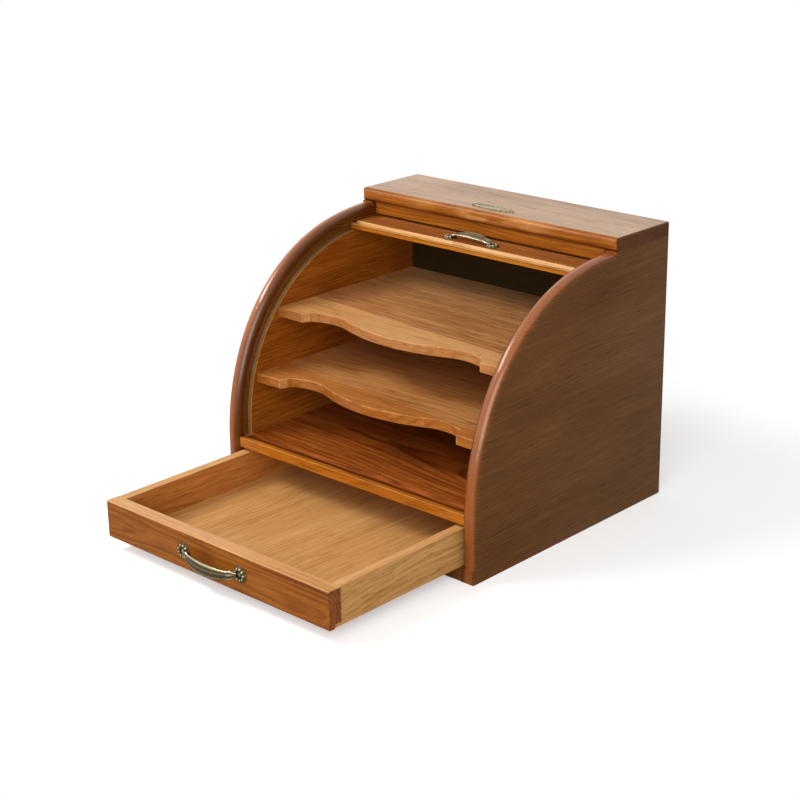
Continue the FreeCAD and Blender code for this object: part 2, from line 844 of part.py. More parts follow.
def domed_screw(head, dome, shank, length):
    """A round-headed screw or pin, its seat at the origin and its shank going down."""
    crown_radius = (head * head + dome * dome) / (2 * dome)
    ball = Part.makeSphere(crown_radius, Vector(0, 0, dome - crown_radius))
    above = Part.makeCylinder(head, dome)
    return ball.common(above).fuse(
        Part.makeCylinder(shank, length, Vector(0, 0, -length)))


def build_name_plate_pins():
    seat = (top_upper + size("plate_thick") - size("plate_field_depth")).value
    pin = domed_screw(size("plate_pin_head").value, size("plate_pin_dome").value,
                      size("plate_pin_radius").value, size("plate_pin_length").value)
    pins = []
    for across in plate_pin_places():
        copy = pin.copy()
        copy.translate(Vector(across.value, (top_front + size("plate_setback")).value, seat))
        pins.append(copy)
    return finished_shape("name_plate_pins", Part.makeCompound(pins))


# Bow pulls

def petal_outline(radius, bulge, height):
    """A closed scalloped ring, like the rim of a shell."""
    steps = PETAL_COUNT * PETAL_STEPS
    points = []
    for step in range(steps):
        turn = 2 * math.pi * step / steps
        reach = radius - bulge * (1 - abs(math.sin(turn * PETAL_COUNT / 2)))
        points.append(Vector(reach * math.cos(turn), reach * math.sin(turn), height))
    return Part.makePolygon(points + points[:1])


def rosette(radius):
    """A low fluted shell: the petal outline drawn in towards a flat crown."""
    rim, rise = size("rosette_rim").value, size("rosette_rise").value
    bulge = size("petal_bulge").value
    crown = size("rosette_crown").value
    shoulder = (radius + crown) / 2
    steps = [(radius, 0), (radius, rim), (shoulder, rise - rim / 3), (crown, rise)]
    rings = [petal_outline(reach, bulge * reach / radius, height) for reach, height in steps]
    return Part.makeLoft(rings, True, True)


def blade_section(width, thick):
    """A flat oval of straight sides: width along X and thick along Y."""
    points = []
    for side in range(BLADE_SIDES):
        turn = 2 * math.pi * side / BLADE_SIDES
        points.append(Vector(width / 2 * math.cos(turn), thick / 2 * math.sin(turn), 0))
    return Part.makePolygon(points + points[:1])


def bow(spacing, rise, droop, blade, neck, thick):
    """A leaf-shaped blade between the rosettes: flat ovals carried along an arch."""
    half = spacing / 2
    low = size("rosette_rise").value / 2
    reach = 1 - size("bow_end_inset").value / half
    middle = blade - size("bow_waist").value

    def centre(across):
        share = 1 - across * across
        height = low + (rise - low) * share ** BLADE_DOME_POWER
        return Vector(half * across, -droop * share, height)

    def width(across):
        out = abs(across) / reach
        lobe = math.sin(math.pi * out ** BLADE_LOBE_POWER)
        return neck + (blade - neck) * lobe + (middle - neck) * (1 - lobe) * (1 - out ** 2)

    stops = [reach * (2 * step / BOW_STEPS - 1) for step in range(BOW_STEPS + 1)]
    nearby = reach / BOW_STEPS / 10
    sections = []
    for across in stops:
        ahead = (centre(across + nearby) - centre(across - nearby)).normalize()
        sideways = Vector(0, 0, 1).cross(ahead).normalize()
        outwards = ahead.cross(sideways)
        section = blade_section(width(across), thick)
        section.Placement = Placement(centre(across),
                                      Rotation(sideways, outwards, ahead, "XYZ"))
        sections.append(section)
    return Part.makeLoft(sections, True, True)


def pull_shape(name):
    """A whole pull, lying on its seat: X along it and Z away from the wood."""
    spacing = size(f"{name}_pull_spacing").value
    shape = bow(spacing, *(size(f"{name}_pull_{part}").value
                           for part in ("rise", "droop", "blade", "neck", "thick")))
    shell = rosette(size(f"{name}_pull_rosette").value)
    for hand in (-1, 1):
        end = shell.copy()
        end.translate(Vector(hand * spacing / 2, 0, 0))
        shape = shape.fuse(end)
    fit = size("fastening_fit").value
    recess = size("pull_screw_head").value + 2 * fit
    clear_through = size(f"{name}_pull_rise").value + size("rosette_rise").value
    for hand in (-1, 1):
        foot = Vector(hand * spacing / 2, 0, 0)
        seat = foot + Vector(0, 0, size("pull_screw_seat").value)
        shank_hole = Part.makeCylinder(size("pull_screw_radius").value + fit,
                                       clear_through, foot)
        shape = shape.cut(shank_hole).cut(Part.makeCylinder(recess, clear_through, seat))
    return shape


def pull_screws(name):
    """The two round-headed screws of a pull, in the pull's own frame."""
    spacing = size(f"{name}_pull_spacing").value
    screw = domed_screw(size("pull_screw_head").value, size("pull_screw_dome").value,
                        size("pull_screw_radius").value, size("pull_screw_length").value)
    screws = []
    for hand in (-1, 1):
        copy = screw.copy()
        copy.translate(Vector(hand * spacing / 2, 0, size("pull_screw_seat").value))
        screws.append(copy)
    return Part.makeCompound(screws)


def build_pull(name, label, seat):
    """A pull and its screws, put where their seat is."""
    pull = finished_shape(label, pull_shape(name))
    screws = finished_shape(f"{label}_screws", pull_screws(name))
    for feature in (pull, screws):
        feature.Placement = seat
    return pull, screws


def pull_screw_depth():
    """How far a pull's screws go into the wood."""
    return size("pull_screw_length") - size("pull_screw_seat")


# Drawer

def build_drawer_front():
    body = new_body("drawer_front")
    outline = new_sketch(body, "outline", "YZ_Plane")
    inner_face = drawer_front_y + size("drawer_front_thick")
    bottom_face = drawer_front_y + size("drawer_bottom_lap")
    bottom_top = drawer_low + size("drawer_bottom_thick")
    add_loop(outline,
             [(drawer_front_y, drawer_low), (bottom_face, drawer_low),
              (bottom_face, bottom_top), (inner_face, bottom_top),
              (inner_face, drawer_top), (drawer_front_y, drawer_top)])
    pad(body, "board", outline, 2 * drawer_half, both_ways=True)
    soften(body, "front_arris", size("board_arris"),
           lambda edge: lies_at(edge, "y", drawer_front_y.value))
    holes = new_sketch(body, "holes", "XZ_Plane", -drawer_front_y)
    for hand in (-1, 1):
        add_circle(holes, (hand * size("drawer_pull_spacing") / 2, drawer_pull_height()),
                   size("pull_screw_radius") + size("fastening_fit"))
    pocket(body, "screw_holes", holes, pull_screw_depth() + size("pull_screw_room"))
    return body


def drawer_pull_height():
    return drawer_low + size("drawer_tall") / 2


def build_drawer_side(label, hand):
    body = new_body(label)
    outline = new_sketch(body, "outline", "YZ_Plane",
                         box_half - size("drawer_side_thick") if hand > 0 else -box_half)
    add_box_loop(outline, (drawer_front_y + size("drawer_front_thick"),
                           drawer_low + size("drawer_bottom_thick")),
                 (drawer_rear_y, drawer_top))
    pad(body, "board", outline, size("drawer_side_thick"))
    return body


def build_drawer_back():
    body = new_body("drawer_back")
    outline = new_sketch(body, "outline", "YZ_Plane")
    add_box_loop(outline, (drawer_rear_y - size("drawer_back_thick"),
                           drawer_low + size("drawer_bottom_thick")),
                 (drawer_rear_y, drawer_top - size("drawer_back_drop")))
    pad(body, "board", outline, 2 * (box_half - size("drawer_side_thick")), both_ways=True)
    return body


def build_drawer_bottom():
    body = new_body("drawer_bottom")
    outline = new_sketch(body, "outline", "XY_Plane", drawer_low)
    add_box_loop(outline, (-box_half, drawer_front_y + size("drawer_bottom_lap")),
                 (box_half, drawer_rear_y))
    pad(body, "board", outline, size("drawer_bottom_thick"))
    return body


# Curtain

def along_track(travelled):
    """Seat on the canvas a distance from the lead slat's front edge, and its angle.

    The path is a circle about the roll's axis, then the bend, then straight down the back.
    The angle is measured from the level line that points forward.
    """
    if travelled <= front_run.value:
        angle = open_angle.value + math.degrees(travelled / canvas_outer.value)
        return circle_seat(axis_y.value, axis_z.value, canvas_outer.value, angle)
    travelled -= front_run.value
    if travelled <= bend_run.value:
        angle = bend_angle.value + math.degrees(travelled / bend_canvas.value)
        return circle_seat(bend_y.value, bend_z.value, bend_canvas.value, angle)
    down = travelled - bend_run.value
    return circle_seat(bend_y.value, bend_z.value - down, bend_canvas.value, HALF_TURN)


def circle_seat(centre_y, centre_z, radius, angle):
    """Placement on a circle: local Y runs back along it and local Z points outwards."""
    turn = math.radians(angle)
    spot = Vector(0, centre_y - radius * math.cos(turn), centre_z + radius * math.sin(turn))
    return Placement(spot, Rotation(Vector(1, 0, 0), QUARTER_TURN - angle))


def slat_distance(number):
    """Distance of a slat's middle from the lead slat's front edge; the first is 1."""
    return (size("lead_width") + (number - 0.5) * slat_pitch + size("slat_spacing") / 2).value


def build_slat(number):
    """A slat with a rounded back, whose ends run in the tracks."""
    body = new_body(f"slat_{number:02d}")
    profile = new_sketch(body, "profile", "YZ_Plane")
    shoulder = size("slat_shoulder")
    crown = size("slat_thick") - shoulder
    crown_radius = (slat_half * slat_half + crown * crown) / (2 * crown)
    nothing = as_size(0)
    add_loop(profile,
             [(-slat_half, nothing), (slat_half, nothing), (slat_half, shoulder),
              (-slat_half, shoulder)], {2: (crown_radius, 1)})
    pad(body, "slat", profile, 2 * tongue_half, both_ways=True)
    body.Placement = along_track(slat_distance(number))
    return body


def build_lead_slat():
    """The wide bevelled slat at the curtain's front, with thinner tongues."""
    body = new_body("lead_slat")
    half_width, thick = size("lead_width") / 2, size("slat_thick")
    rise, run = size("lead_bevel_rise"), size("lead_bevel_run")
    arris = size("board_arris")
    nothing = as_size(0)
    profile = new_sketch(body, "profile", "YZ_Plane")
    add_loop(profile,
             [(-half_width, nothing), (half_width, nothing), (half_width, thick - arris),
              (half_width - arris, thick), (run - half_width, thick),
              (-half_width, thick - rise)])
    pad(body, "slat", profile, 2 * (inner_half - size("lead_side_gap")), both_ways=True)
    tongue = new_sketch(body, "tongue", "YZ_Plane")
    add_box_loop(tongue, (-half_width, nothing),
                 (half_width - size("lead_tongue_back"), size("lead_tongue_thick")))
    pad(body, "tongues", tongue, 2 * tongue_half, both_ways=True)
    holes = new_sketch(body, "holes", "XY_Plane", thick)
    for hand in (-1, 1):
        add_circle(holes, (hand * size("lead_pull_spacing") / 2, nothing),
                   size("pull_screw_radius") + size("fastening_fit"))
    pocket(body, "screw_holes", holes, pull_screw_depth() + size("lead_screw_room"))
    body.Placement = along_track(half_width.value)
    return body


def canvas_between(label, start, end):
    """A strip of canvas glued under the slats, from one distance to another."""
    length = 2 * (inner_half - size("canvas_margin")).value
    thick = size("canvas_thick").value
    stops = [front_run.value, front_run.value + bend_run.value]
    marks = [start] + [stop for stop in stops if start < stop < end] + [end]
    pieces = []
    for low, high in zip(marks, marks[1:]):
        pieces.append(canvas_piece(low, high, thick, length))
    shape = pieces[0]
    for piece in pieces[1:]:
        shape = shape.fuse(piece)
    return finished_shape(label, shape.removeSplitter())


def canvas_piece(low, high, thick, length):
    """One run of canvas: an arc or a straight, with its lower face a thickness down."""
    seats = [along_track(low + share * (high - low)) for share in (0, 0.5, 1)]
    upper = [seat.Base for seat in seats]
    lower = [seat.multVec(Vector(0, 0, -thick)) for seat in seats]
    bent = abs(seats[1].Rotation.Angle - seats[2].Rotation.Angle) > 1e-6
    if bent:
        sides = [Part.Arc(*upper).toShape(), Part.Arc(*reversed(lower)).toShape()]
    else:
        sides = [Part.makeLine(upper[0], upper[2]), Part.makeLine(lower[2], lower[0])]
    wire = Part.Wire([sides[0], Part.makeLine(upper[2], lower[2]), sides[1],
                      Part.makeLine(lower[0], upper[0])])
    face = Part.Face(wire)
    face.translate(Vector(-length / 2, 0, 0))
    return face.extrude(Vector(length, 0, 0))


def last_front_slat():
    """The last slat whose whole width lies on the front circle when it is open."""
    number = 0
    while slat_distance(number + 1) + slat_half.value <= front_run.value:
        number += 1
    return number


# The whole box

side_curve = front_curve()
build_side_panel("left_side_panel", -1, side_curve)
build_side_panel("right_side_panel", 1, side_curve)
build_base_board()
build_divider_board()
build_shelf("lower_shelf", lower_shelf_top, lower_tab,
            size("lower_bay_depth"), size("lower_bulge_back"))
build_shelf("upper_shelf", upper_shelf_top, upper_tab,
            size("upper_bay_depth"), size("upper_bulge_back"))
build_inner_back()
build_back_panel()
build_back_screws()
build_top_board()
build_top_dowels()
build_rail("top_rail", rail_front, size("rail_tall"))
build_back_rail()
build_name_plate()
build_name_plate_pins()

build_drawer_front()
build_drawer_side("drawer_left_side", -1)
build_drawer_side("drawer_right_side", 1)
build_drawer_back()
build_drawer_bottom()
on_drawer = Placement(Vector(0, drawer_front_y.value, drawer_pull_height().value),
                      Rotation(Vector(1, 0, 0), 90))
build_pull("drawer", "drawer_pull", on_drawer)

build_lead_slat()
on_lead = along_track(size("lead_width").value / 2)
on_lead.Base = on_lead.multVec(Vector(0, 0, size("slat_thick").value))
build_pull("lead", "tambour_pull", on_lead)
for slat_number in range(1, SLAT_COUNT + 1):
    build_slat(slat_number)
canvas_split = (slat_distance(last_front_slat()) + slat_half.value
                + size("slat_spacing").value / 2)
canvas_between("canvas_front", size("canvas_margin").value,
               canvas_split - size("slat_spacing").value / 2)
canvas_between("canvas_tail", canvas_split + size("slat_spacing").value / 2,
               (size("lead_width") + SLAT_COUNT * slat_pitch).value)
doc.recompute()

# Checks and files

for item in doc.Objects:
    if "Invalid" in item.State or "Error" in item.State:
        raise RuntimeError(f"{item.Name} did not compute: {item.State}")
nodes = [item for item in doc.Objects
         if item.isDerivedFrom("PartDesign::Body") or item.TypeId == "Part::Feature"]
os.makedirs("parts", exist_ok=True)
for node in nodes:
    if node.Shape.isNull() or not node.Shape.isValid():
        raise RuntimeError(f"{node.Label} has no valid shape")
    node.Shape.exportStep(f"parts/{node.Label}.step")
print(f"{len(nodes)} pieces, slat pitch {slat_pitch.value:.3f} mm")
print(f"slats on the front circle: {last_front_slat()}")
print(f"curtain travel {lead_middle_angle.value:.3f} degrees "
      f"about Y {axis_y.value:.3f}, Z {axis_z.value:.3f}")
further_out = (drawer_rear_y - front - size("drawer_kept_in")).value
print(f"drawer travel -{size('drawer_open').value:.1f} to {further_out:.1f} mm")
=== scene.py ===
"""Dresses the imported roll-top storage box: finishes, cast pulls and the rolling curtain."""

import json
import math

import bpy
import numpy as np
from mathutils import Matrix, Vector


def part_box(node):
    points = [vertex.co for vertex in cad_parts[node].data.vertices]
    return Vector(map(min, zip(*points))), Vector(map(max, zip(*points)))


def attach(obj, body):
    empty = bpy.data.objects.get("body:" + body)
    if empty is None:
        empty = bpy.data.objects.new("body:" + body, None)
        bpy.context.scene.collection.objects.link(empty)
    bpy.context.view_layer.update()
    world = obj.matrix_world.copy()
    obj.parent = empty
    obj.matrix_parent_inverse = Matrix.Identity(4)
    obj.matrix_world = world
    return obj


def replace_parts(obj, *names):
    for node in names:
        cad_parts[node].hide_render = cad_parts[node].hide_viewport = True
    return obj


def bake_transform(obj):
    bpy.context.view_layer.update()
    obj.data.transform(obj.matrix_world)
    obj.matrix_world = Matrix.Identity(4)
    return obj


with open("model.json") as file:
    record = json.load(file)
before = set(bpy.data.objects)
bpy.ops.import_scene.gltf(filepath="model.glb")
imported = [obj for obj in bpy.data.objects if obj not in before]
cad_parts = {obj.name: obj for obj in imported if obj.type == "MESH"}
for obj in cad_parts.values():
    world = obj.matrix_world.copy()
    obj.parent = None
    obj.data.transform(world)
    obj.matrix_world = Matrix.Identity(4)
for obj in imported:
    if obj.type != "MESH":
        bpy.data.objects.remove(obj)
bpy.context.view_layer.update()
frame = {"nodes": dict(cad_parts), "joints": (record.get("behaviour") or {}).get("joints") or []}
nodes = frame["nodes"]

MM = 0.001


# Places read from the frame

roll = next(joint for joint in frame["joints"] if joint["name"] == "curtain_roll")
ROLL_AXIS = np.array(roll["pos_m"][1:])
TRAVEL = math.radians(roll["range_deg"][1])
SLAT_COUNT = sum(name.startswith("slat_") for name in nodes)
TRACK_CLEARANCE = 0.8 * MM


def node_points(name):
    """The corners of a frame node's mesh, one row each."""
    mesh = nodes[name].data
    flat = np.zeros(3 * len(mesh.vertices))
    mesh.vertices.foreach_get("co", flat)
    return flat.reshape(-1, 3)


def to_polar(points):
    """Radius and angle about the roll axis; the angle runs from level in front, over the top."""
    y = points[..., 1] - ROLL_AXIS[0]
    z = points[..., 2] - ROLL_AXIS[1]
    return np.hypot(y, z), np.arctan2(z, -y)


def from_polar(x, radius, angle):
    """The point at x along the axis, a radius out from it, at the angle of to_polar."""
    return np.stack([x + 0 * radius * angle, ROLL_AXIS[0] - radius * np.cos(angle) + 0 * x,
                     ROLL_AXIS[1] + radius * np.sin(angle) + 0 * x], -1)


def slat_angle(number):
    """The angle of the middle of a front slat at rest."""
    return to_polar(node_points(f"slat_{number:02d}").mean(axis=0))[1]


SLAT_PITCH = slat_angle(2) - slat_angle(1)
canvas_radius, canvas_angle = to_polar(node_points("canvas_front"))
slat_radius, first_slat_angle = to_polar(node_points("slat_01"))
TRACK_RIM = slat_radius.max() + TRACK_CLEARANCE
BLEND_FROM = canvas_angle.max()
BLEND_TO = first_slat_angle.max()


# Meshes

def skin(points):
    """Corners and faces of a row of closed sections: quads along it and a fan over each end."""
    stations, around, _ = points.shape
    index = np.arange(stations * around).reshape(stations, around)
    beside = np.roll(index, -1, axis=1)
    quads = np.stack([index[:-1], beside[:-1], beside[1:], index[1:]], -1).reshape(-1, 4)
    poles = points[[0, -1]].mean(axis=1)
    first = np.full(around, stations * around)
    fans = np.concatenate([np.stack([beside[0], index[0], first], -1),
                           np.stack([index[-1], beside[-1], first + 1], -1)])
    corners = np.concatenate([points.reshape(-1, 3), poles])
    return outwards(corners, quads, fans)


def outwards(corners, quads, fans):
    """The same faces, turned round if the volume they close comes out negative."""
    triangles = np.concatenate([quads[:, [0, 1, 2]], quads[:, [0, 2, 3]], fans])
    a, b, c = (corners[triangles[:, k]] for k in range(3))
    if np.einsum("ij,ij->i", a, np.cross(b, c)).sum() < 0:
        quads, fans = quads[:, ::-1], fans[:, ::-1]
    return corners, quads, fans


def join_skins(skins):
    """Several closed skins as one list of corners and faces."""
    corners, faces, start = [], [], 0
    for part, quads, fans in skins:
        corners.append(part)
        faces += (quads + start).tolist() + (fans + start).tolist()
        start += len(part)
    return np.concatenate(corners), faces


def along_skin(values):
    """Values of a row of sections in the order of its skin's corners, poles last."""
    flat = values.reshape(-1, *values.shape[2:])
    return np.concatenate([flat, values[[0, -1]].mean(axis=1)])


def make_piece(name, skins, material, crease=40, marks=()):
    """A piece with its place in its mesh, smooth but for edges sharper than the crease."""
    corners, faces = join_skins(skins)
    mesh = bpy.data.meshes.new(name)
    mesh.from_pydata(corners.tolist(), [], faces)
    mesh.shade_smooth()
    mesh.set_sharp_from_angle(angle=math.radians(crease))
    for label, kind, values in marks:
        attribute = mesh.attributes.new(label, kind, "POINT")
        field = "vector" if kind == "FLOAT_VECTOR" else "value"
        attribute.data.foreach_set(field, np.asarray(values, np.float32).ravel())
    mesh.materials.append(material)
    piece = bpy.data.objects.new(name, mesh)
    bpy.context.scene.collection.objects.link(piece)
    return piece


# Shader maths

class Wire:
    """One output of a bench's nodes. Arithmetic on it adds Math nodes."""

    def __init__(self, bench, socket):
        self.bench, self.socket = bench, socket

    def __add__(self, other):
        return self.bench.math("ADD", self, other)

    def __radd__(self, other):
        return self.bench.math("ADD", other, self)

    def __sub__(self, other):
        return self.bench.math("SUBTRACT", self, other)

    def __rsub__(self, other):
        return self.bench.math("SUBTRACT", other, self)

    def __mul__(self, other):
        return self.bench.math("MULTIPLY", self, other)

    def __rmul__(self, other):
        return self.bench.math("MULTIPLY", other, self)

    def __truediv__(self, other):
        return self.bench.math("DIVIDE", self, other)

    def __pow__(self, other):
        return self.bench.math("POWER", self, other)

    def __abs__(self):
        return self.bench.math("ABSOLUTE", self)


class Bench:
    """The nodes of one material, or of the world."""

    def __init__(self, name, blocks=None):
        self.block = (bpy.data.materials if blocks is None else blocks).new(name)
        self.block.use_nodes = True
        self.tree = self.block.node_tree
        self.tree.nodes.clear()

    def node(self, kind, settings=None, inputs=None, output=0):
        """A node of that type, with its settings, then its sockets' values or links."""
        node = self.tree.nodes.new(kind)
        for key, value in (settings or {}).items():
            setattr(node, key, value)
        for key, value in (inputs or {}).items():
            if isinstance(value, Wire):
                self.tree.links.new(value.socket, node.inputs[key])
            else:
                node.inputs[key].default_value = value
        return Wire(self, node.outputs[output]) if node.outputs else None

    def outputs(self, wire, names):
        """The named outputs of the node that a wire comes from."""
        return [Wire(self, wire.socket.node.outputs[name]) for name in names]

    def math(self, operation, first, second=0.0):
        return self.node("ShaderNodeMath", {"operation": operation}, {0: first, 1: second})

    def mark(self, label, output="Vector"):
        """What a piece's own attribute of that name holds."""
        return self.node("ShaderNodeAttribute", {"attribute_name": label}, output=output)

    def place(self, label=None):
        """Where a point lies: on the object, or as the piece's own attribute has it."""
        return self.mark(label) if label else self.node("ShaderNodeTexCoord", output="Object")

    def axes(self, vector):
        """The three parts of a vector."""
        return self.outputs(self.node("ShaderNodeSeparateXYZ", inputs={0: vector}), "XYZ")

    def join(self, x, y, z):
        return self.node("ShaderNodeCombineXYZ", inputs={0: x, 1: y, 2: z})

    def moved(self, vector, move=(0, 0, 0), turn=(0, 0, 0), scale=(1, 1, 1)):
        return self.node("ShaderNodeMapping", inputs={"Vector": vector, "Location": move,
                                                      "Rotation": turn, "Scale": scale})

    def noise(self, vector, scale=1.0, detail=2.0, rough=0.5, output="Fac"):
        return self.node("ShaderNodeTexNoise", inputs={"Vector": vector, "Scale": scale,
                                                       "Detail": detail, "Roughness": rough},
                         output=output)

    def drawn_out(self, vector, scale, detail=2.0, rough=0.5, move=(0, 0, 0), output="Fac"):
        """Noise with a number of its own of bumps a metre along each axis."""
        return self.noise(self.moved(vector, move, scale=scale), 1.0, detail, rough, output)

    def waver(self, vector, scale, reach):
        """A length that wanders about zero, by half its reach either way at most."""
        return (self.drawn_out(vector, scale) - 0.5) * reach

    def ramp(self, value, *stops):
        """A grey that follows the value through stops, each a position and a level."""
        wire = self.node("ShaderNodeValToRGB", inputs={"Fac": value})
        elements = wire.socket.node.color_ramp.elements
        while len(elements) < len(stops):
            elements.new(1)
        for element, (position, level) in zip(elements, stops):
            element.position = position
            element.color = (level, level, level, 1)
        return wire

    def fade(self, value, start, end, low=0.0, high=1.0):
        """A smooth step of the value, from low at start to high at end."""
        return self.node("ShaderNodeMapRange", {"interpolation_type": "SMOOTHSTEP"},
                         {"Value": value, "From Min": start, "From Max": end,
                          "To Min": low, "To Max": high})

    def mix(self, first, second, share):
        """Two colours mixed by a share."""
        return self.node("ShaderNodeMix", {"data_type": "RGBA"}, {0: share, 6: first, 7: second},
                         output=2)

    def clamp(self, value):
        return self.node("ShaderNodeClamp", inputs={"Value": value})

    def finish(self, constants, colour, rough, height, bump):
        """The surface shader: its constants, and the maps that drive it."""
        normal = self.node("ShaderNodeBump", inputs={"Height": height, "Strength": 1.0,
                                                     "Distance": bump})
        surface = self.node("ShaderNodeBsdfPrincipled", inputs={
            **constants, "Base Color": colour, "Roughness": rough, "Normal": normal})
        self.node("ShaderNodeOutputMaterial", inputs={"Surface": surface})
        return self.block


def paint(red, green, blue):
    """A colour given as it shows on a screen, 0 to 255, as the light it sends back."""
    shown = np.array([red, green, blue]) / 255
    linear = np.where(shown <= 0.04045, shown / 12.92, ((shown + 0.055) / 1.055) ** 2.4)
    return (*linear.tolist(), 1.0)


# Wood

GRAIN_TURNS = {"X": (0, 0, 0), "Y": (0, 0, -math.pi / 2), "Z": (0, math.pi / 2, 0)}
SHELLAC = {"Specular IOR Level": 0.28, "Specular Tint": (1.0, 0.62, 0.34, 1.0),
           "Coat Roughness": 0.2, "Coat Tint": (1.0, 0.9, 0.78, 1.0)}
PORE_DEPTH = 0.12 * MM
FINE_PORE_DEPTH = 0.1 * MM
BASE_TONE = 0.28

# Pale, middle and dark tone of each stain
HONEY = (paint(184, 112, 36), paint(154, 82, 18), paint(96, 42, 6))
AMBER = (paint(186, 114, 36), paint(158, 88, 18), paint(108, 50, 8))
TEAK = (paint(216, 156, 102), paint(180, 121, 70), paint(116, 66, 32))
STAVE = (paint(232, 178, 118), paint(212, 154, 94), paint(164, 104, 54))
# Paler tones laid towards a shelf's back: painted light
REAR_PAINTED_LIGHT = (paint(232, 180, 124), paint(214, 158, 104), paint(156, 100, 58))
CHESTNUT = (paint(188, 108, 46), paint(156, 82, 28), paint(96, 42, 12))
FADED = (paint(218, 160, 98), paint(196, 137, 80), paint(140, 86, 44))
TAWNY = (paint(208, 140, 72), paint(186, 117, 54), paint(134, 78, 30))
ORANGE = (paint(206, 132, 40), paint(182, 106, 22), paint(126, 62, 10))
WALL = (paint(172, 102, 32), paint(140, 73, 15), paint(84, 36, 5))
# Grey tone of the top board's upper face, partly a painted sheen of the varnish
GREYED_AND_PAINTED_SHEEN = (paint(210, 172, 137), paint(190, 153, 120), paint(132, 97, 68))
UMBER = (paint(130, 82, 40), paint(108, 66, 28), paint(52, 28, 10))
# Grey copy of the umber, a painted sheen on the side panels' outer faces
ASHEN_PAINTED_SHEEN = (paint(134, 94, 60), paint(114, 78, 46), paint(66, 42, 24))
RUSSET = (paint(174, 102, 46), paint(150, 84, 34), paint(88, 42, 12))
RAW = (paint(226, 174, 108), paint(206, 150, 86), paint(150, 96, 46))
# Inner back: a dark stain with painted shade in it
INNER_BACK_STAIN_AND_SHADE = (paint(46, 34, 18), paint(46, 34, 18), paint(30, 22, 10))
OUTER_BACK = (paint(150, 106, 60), paint(150, 106, 60), paint(110, 72, 36))

# Single tones laid over the stains
RUBBED_NOSE = paint(214, 146, 82)
RUBBED_ARRIS = paint(226, 178, 112)
# Painted shade under the top board's rounded front
NOSE_UNDERSIDE_PAINTED_SHADE = paint(60, 24, 4)
BOARD_END = paint(66, 32, 12)
# Painted shade on the inner side of the side panels' rolled front
ROLL_INNER_PAINTED_SHADE = paint(60, 26, 6)
TRACK_WALL = paint(120, 84, 42)
# Painted shade on the floor of the curtain track
TRACK_FLOOR_PAINTED_SHADE = paint(86, 58, 24)
SWIRL = paint(120, 58, 12)
# Dark line behind the divider's front strip: stain and painted shade
REBATE_STAIN_AND_SHADE = paint(44, 14, 2)
BEVEL_LINE = paint(84, 40, 8)
# Painted shadow of the top rail on the lead slat
RAIL_PAINTED_SHADOW = paint(30, 10, 2)


def tree_figure(bench, place, grain, seed, ring=4.2, pith=(40, -55), lean=(1.6, 2.4)):
    """Growth rings about a wandering pith, with the fibres, streaks and pores along it.

    The ring number is the distance from the pith over the ring width, and its fraction
    darkens slowly, then drops: the early and the late wood of one year.
    """
    along = bench.moved(place, turn=GRAIN_TURNS[grain])
    tree = bench.moved(along, move=(0.37 * seed, pith[0] * MM, pith[1] * MM),
                       turn=(0, math.radians(lean[0]), math.radians(lean[1])))
    wander = bench.axes(bench.drawn_out(tree, (2.6, 8, 8), output="Color"))
    jitter = bench.axes(bench.drawn_out(tree, (14, 60, 60), output="Color"))
    _, across, deep = bench.axes(tree)
    across = across + (wander[0] - 0.5) * 0.05 + (jitter[0] - 0.5) * 0.004
    deep = deep + (wander[1] - 0.5) * 0.05 + (jitter[1] - 0.5) * 0.004
    radius = (across * across + deep * deep) ** 0.5
    years = bench.noise(bench.join(0.0, 0.0, radius), 90.0, 1.0)
    phase = bench.math("FRACT", radius / (ring * MM) + years * 1.8)
    late = bench.ramp(phase, (0.0, 0.1), (0.4, 0.22), (0.78, 1.0), (0.9, 0.95), (1.0, 0.1))
    strength = bench.fade(bench.drawn_out(tree, (3, 24, 24), 1.0), 0.3, 0.7, 0.35, 1.0)
    pore_field = bench.drawn_out(tree, (36, 720, 720), 1.0, move=(3.1, 0, 0))
    return {"late": late * strength,
            "fibre": bench.drawn_out(tree, (13, 430, 430), 3.0, 0.65),
            "streak": bench.drawn_out(tree, (6, 150, 150), 3.0, 0.6, move=(1.7, 0, 0)),
            "pores": bench.fade(pore_field, 0.57, 0.7),
            "cloud": bench.drawn_out(tree, (7, 20, 20), 3.0)}


def timber(name, grain, seed, label=None, **growth):
    """A new bench, where its points lie, and the figure of the wood there."""
    bench = Bench(name)
    place = bench.place(label)
    return bench, place, tree_figure(bench, place, grain, seed, **growth)


def stained(bench, figure, tones, depth=0.75, rings=0.42):
    """Stain over the figure: pale early wood, dark late wood, and clouds between."""
    pale, middle, dark = tones
    tone = bench.clamp(figure["late"] * (depth * rings) + (figure["fibre"] - 0.5) * depth
                       + (figure["streak"] - 0.5) * (0.8 * depth)
                       + (figure["cloud"] - 0.5) * 0.8 + BASE_TONE)
    warm = bench.mix(pale, middle, bench.fade(tone, 0.0, 0.5))
    deep = bench.mix(warm, dark, bench.fade(tone, 0.4, 1.0))
    return bench.mix(deep, dark, figure["pores"] * (0.6 * depth))


def relief(figure):
    """What the hand feels on open-pored wood: fibres, sunk pores and hard late wood."""
    return figure["fibre"] * 0.5 - figure["pores"] * 0.8 - figure["late"] * 0.25


def sheen(figure, rough):
    """Roughness about a middle value, a little uneven with the figure."""
    return rough + (figure["fibre"] - 0.5) * 0.14 + (figure["cloud"] - 0.5) * 0.12


def varnished(bench, figure, colour, rough=0.42, coat=0.0, feel=1.0, depth=PORE_DEPTH):
    """Shellac over a colour: how rough and thick it is, and how far the grain shows through."""
    return bench.finish({**SHELLAC, "Coat Weight": coat}, colour, sheen(figure, rough),
                        relief(figure) * feel, depth)


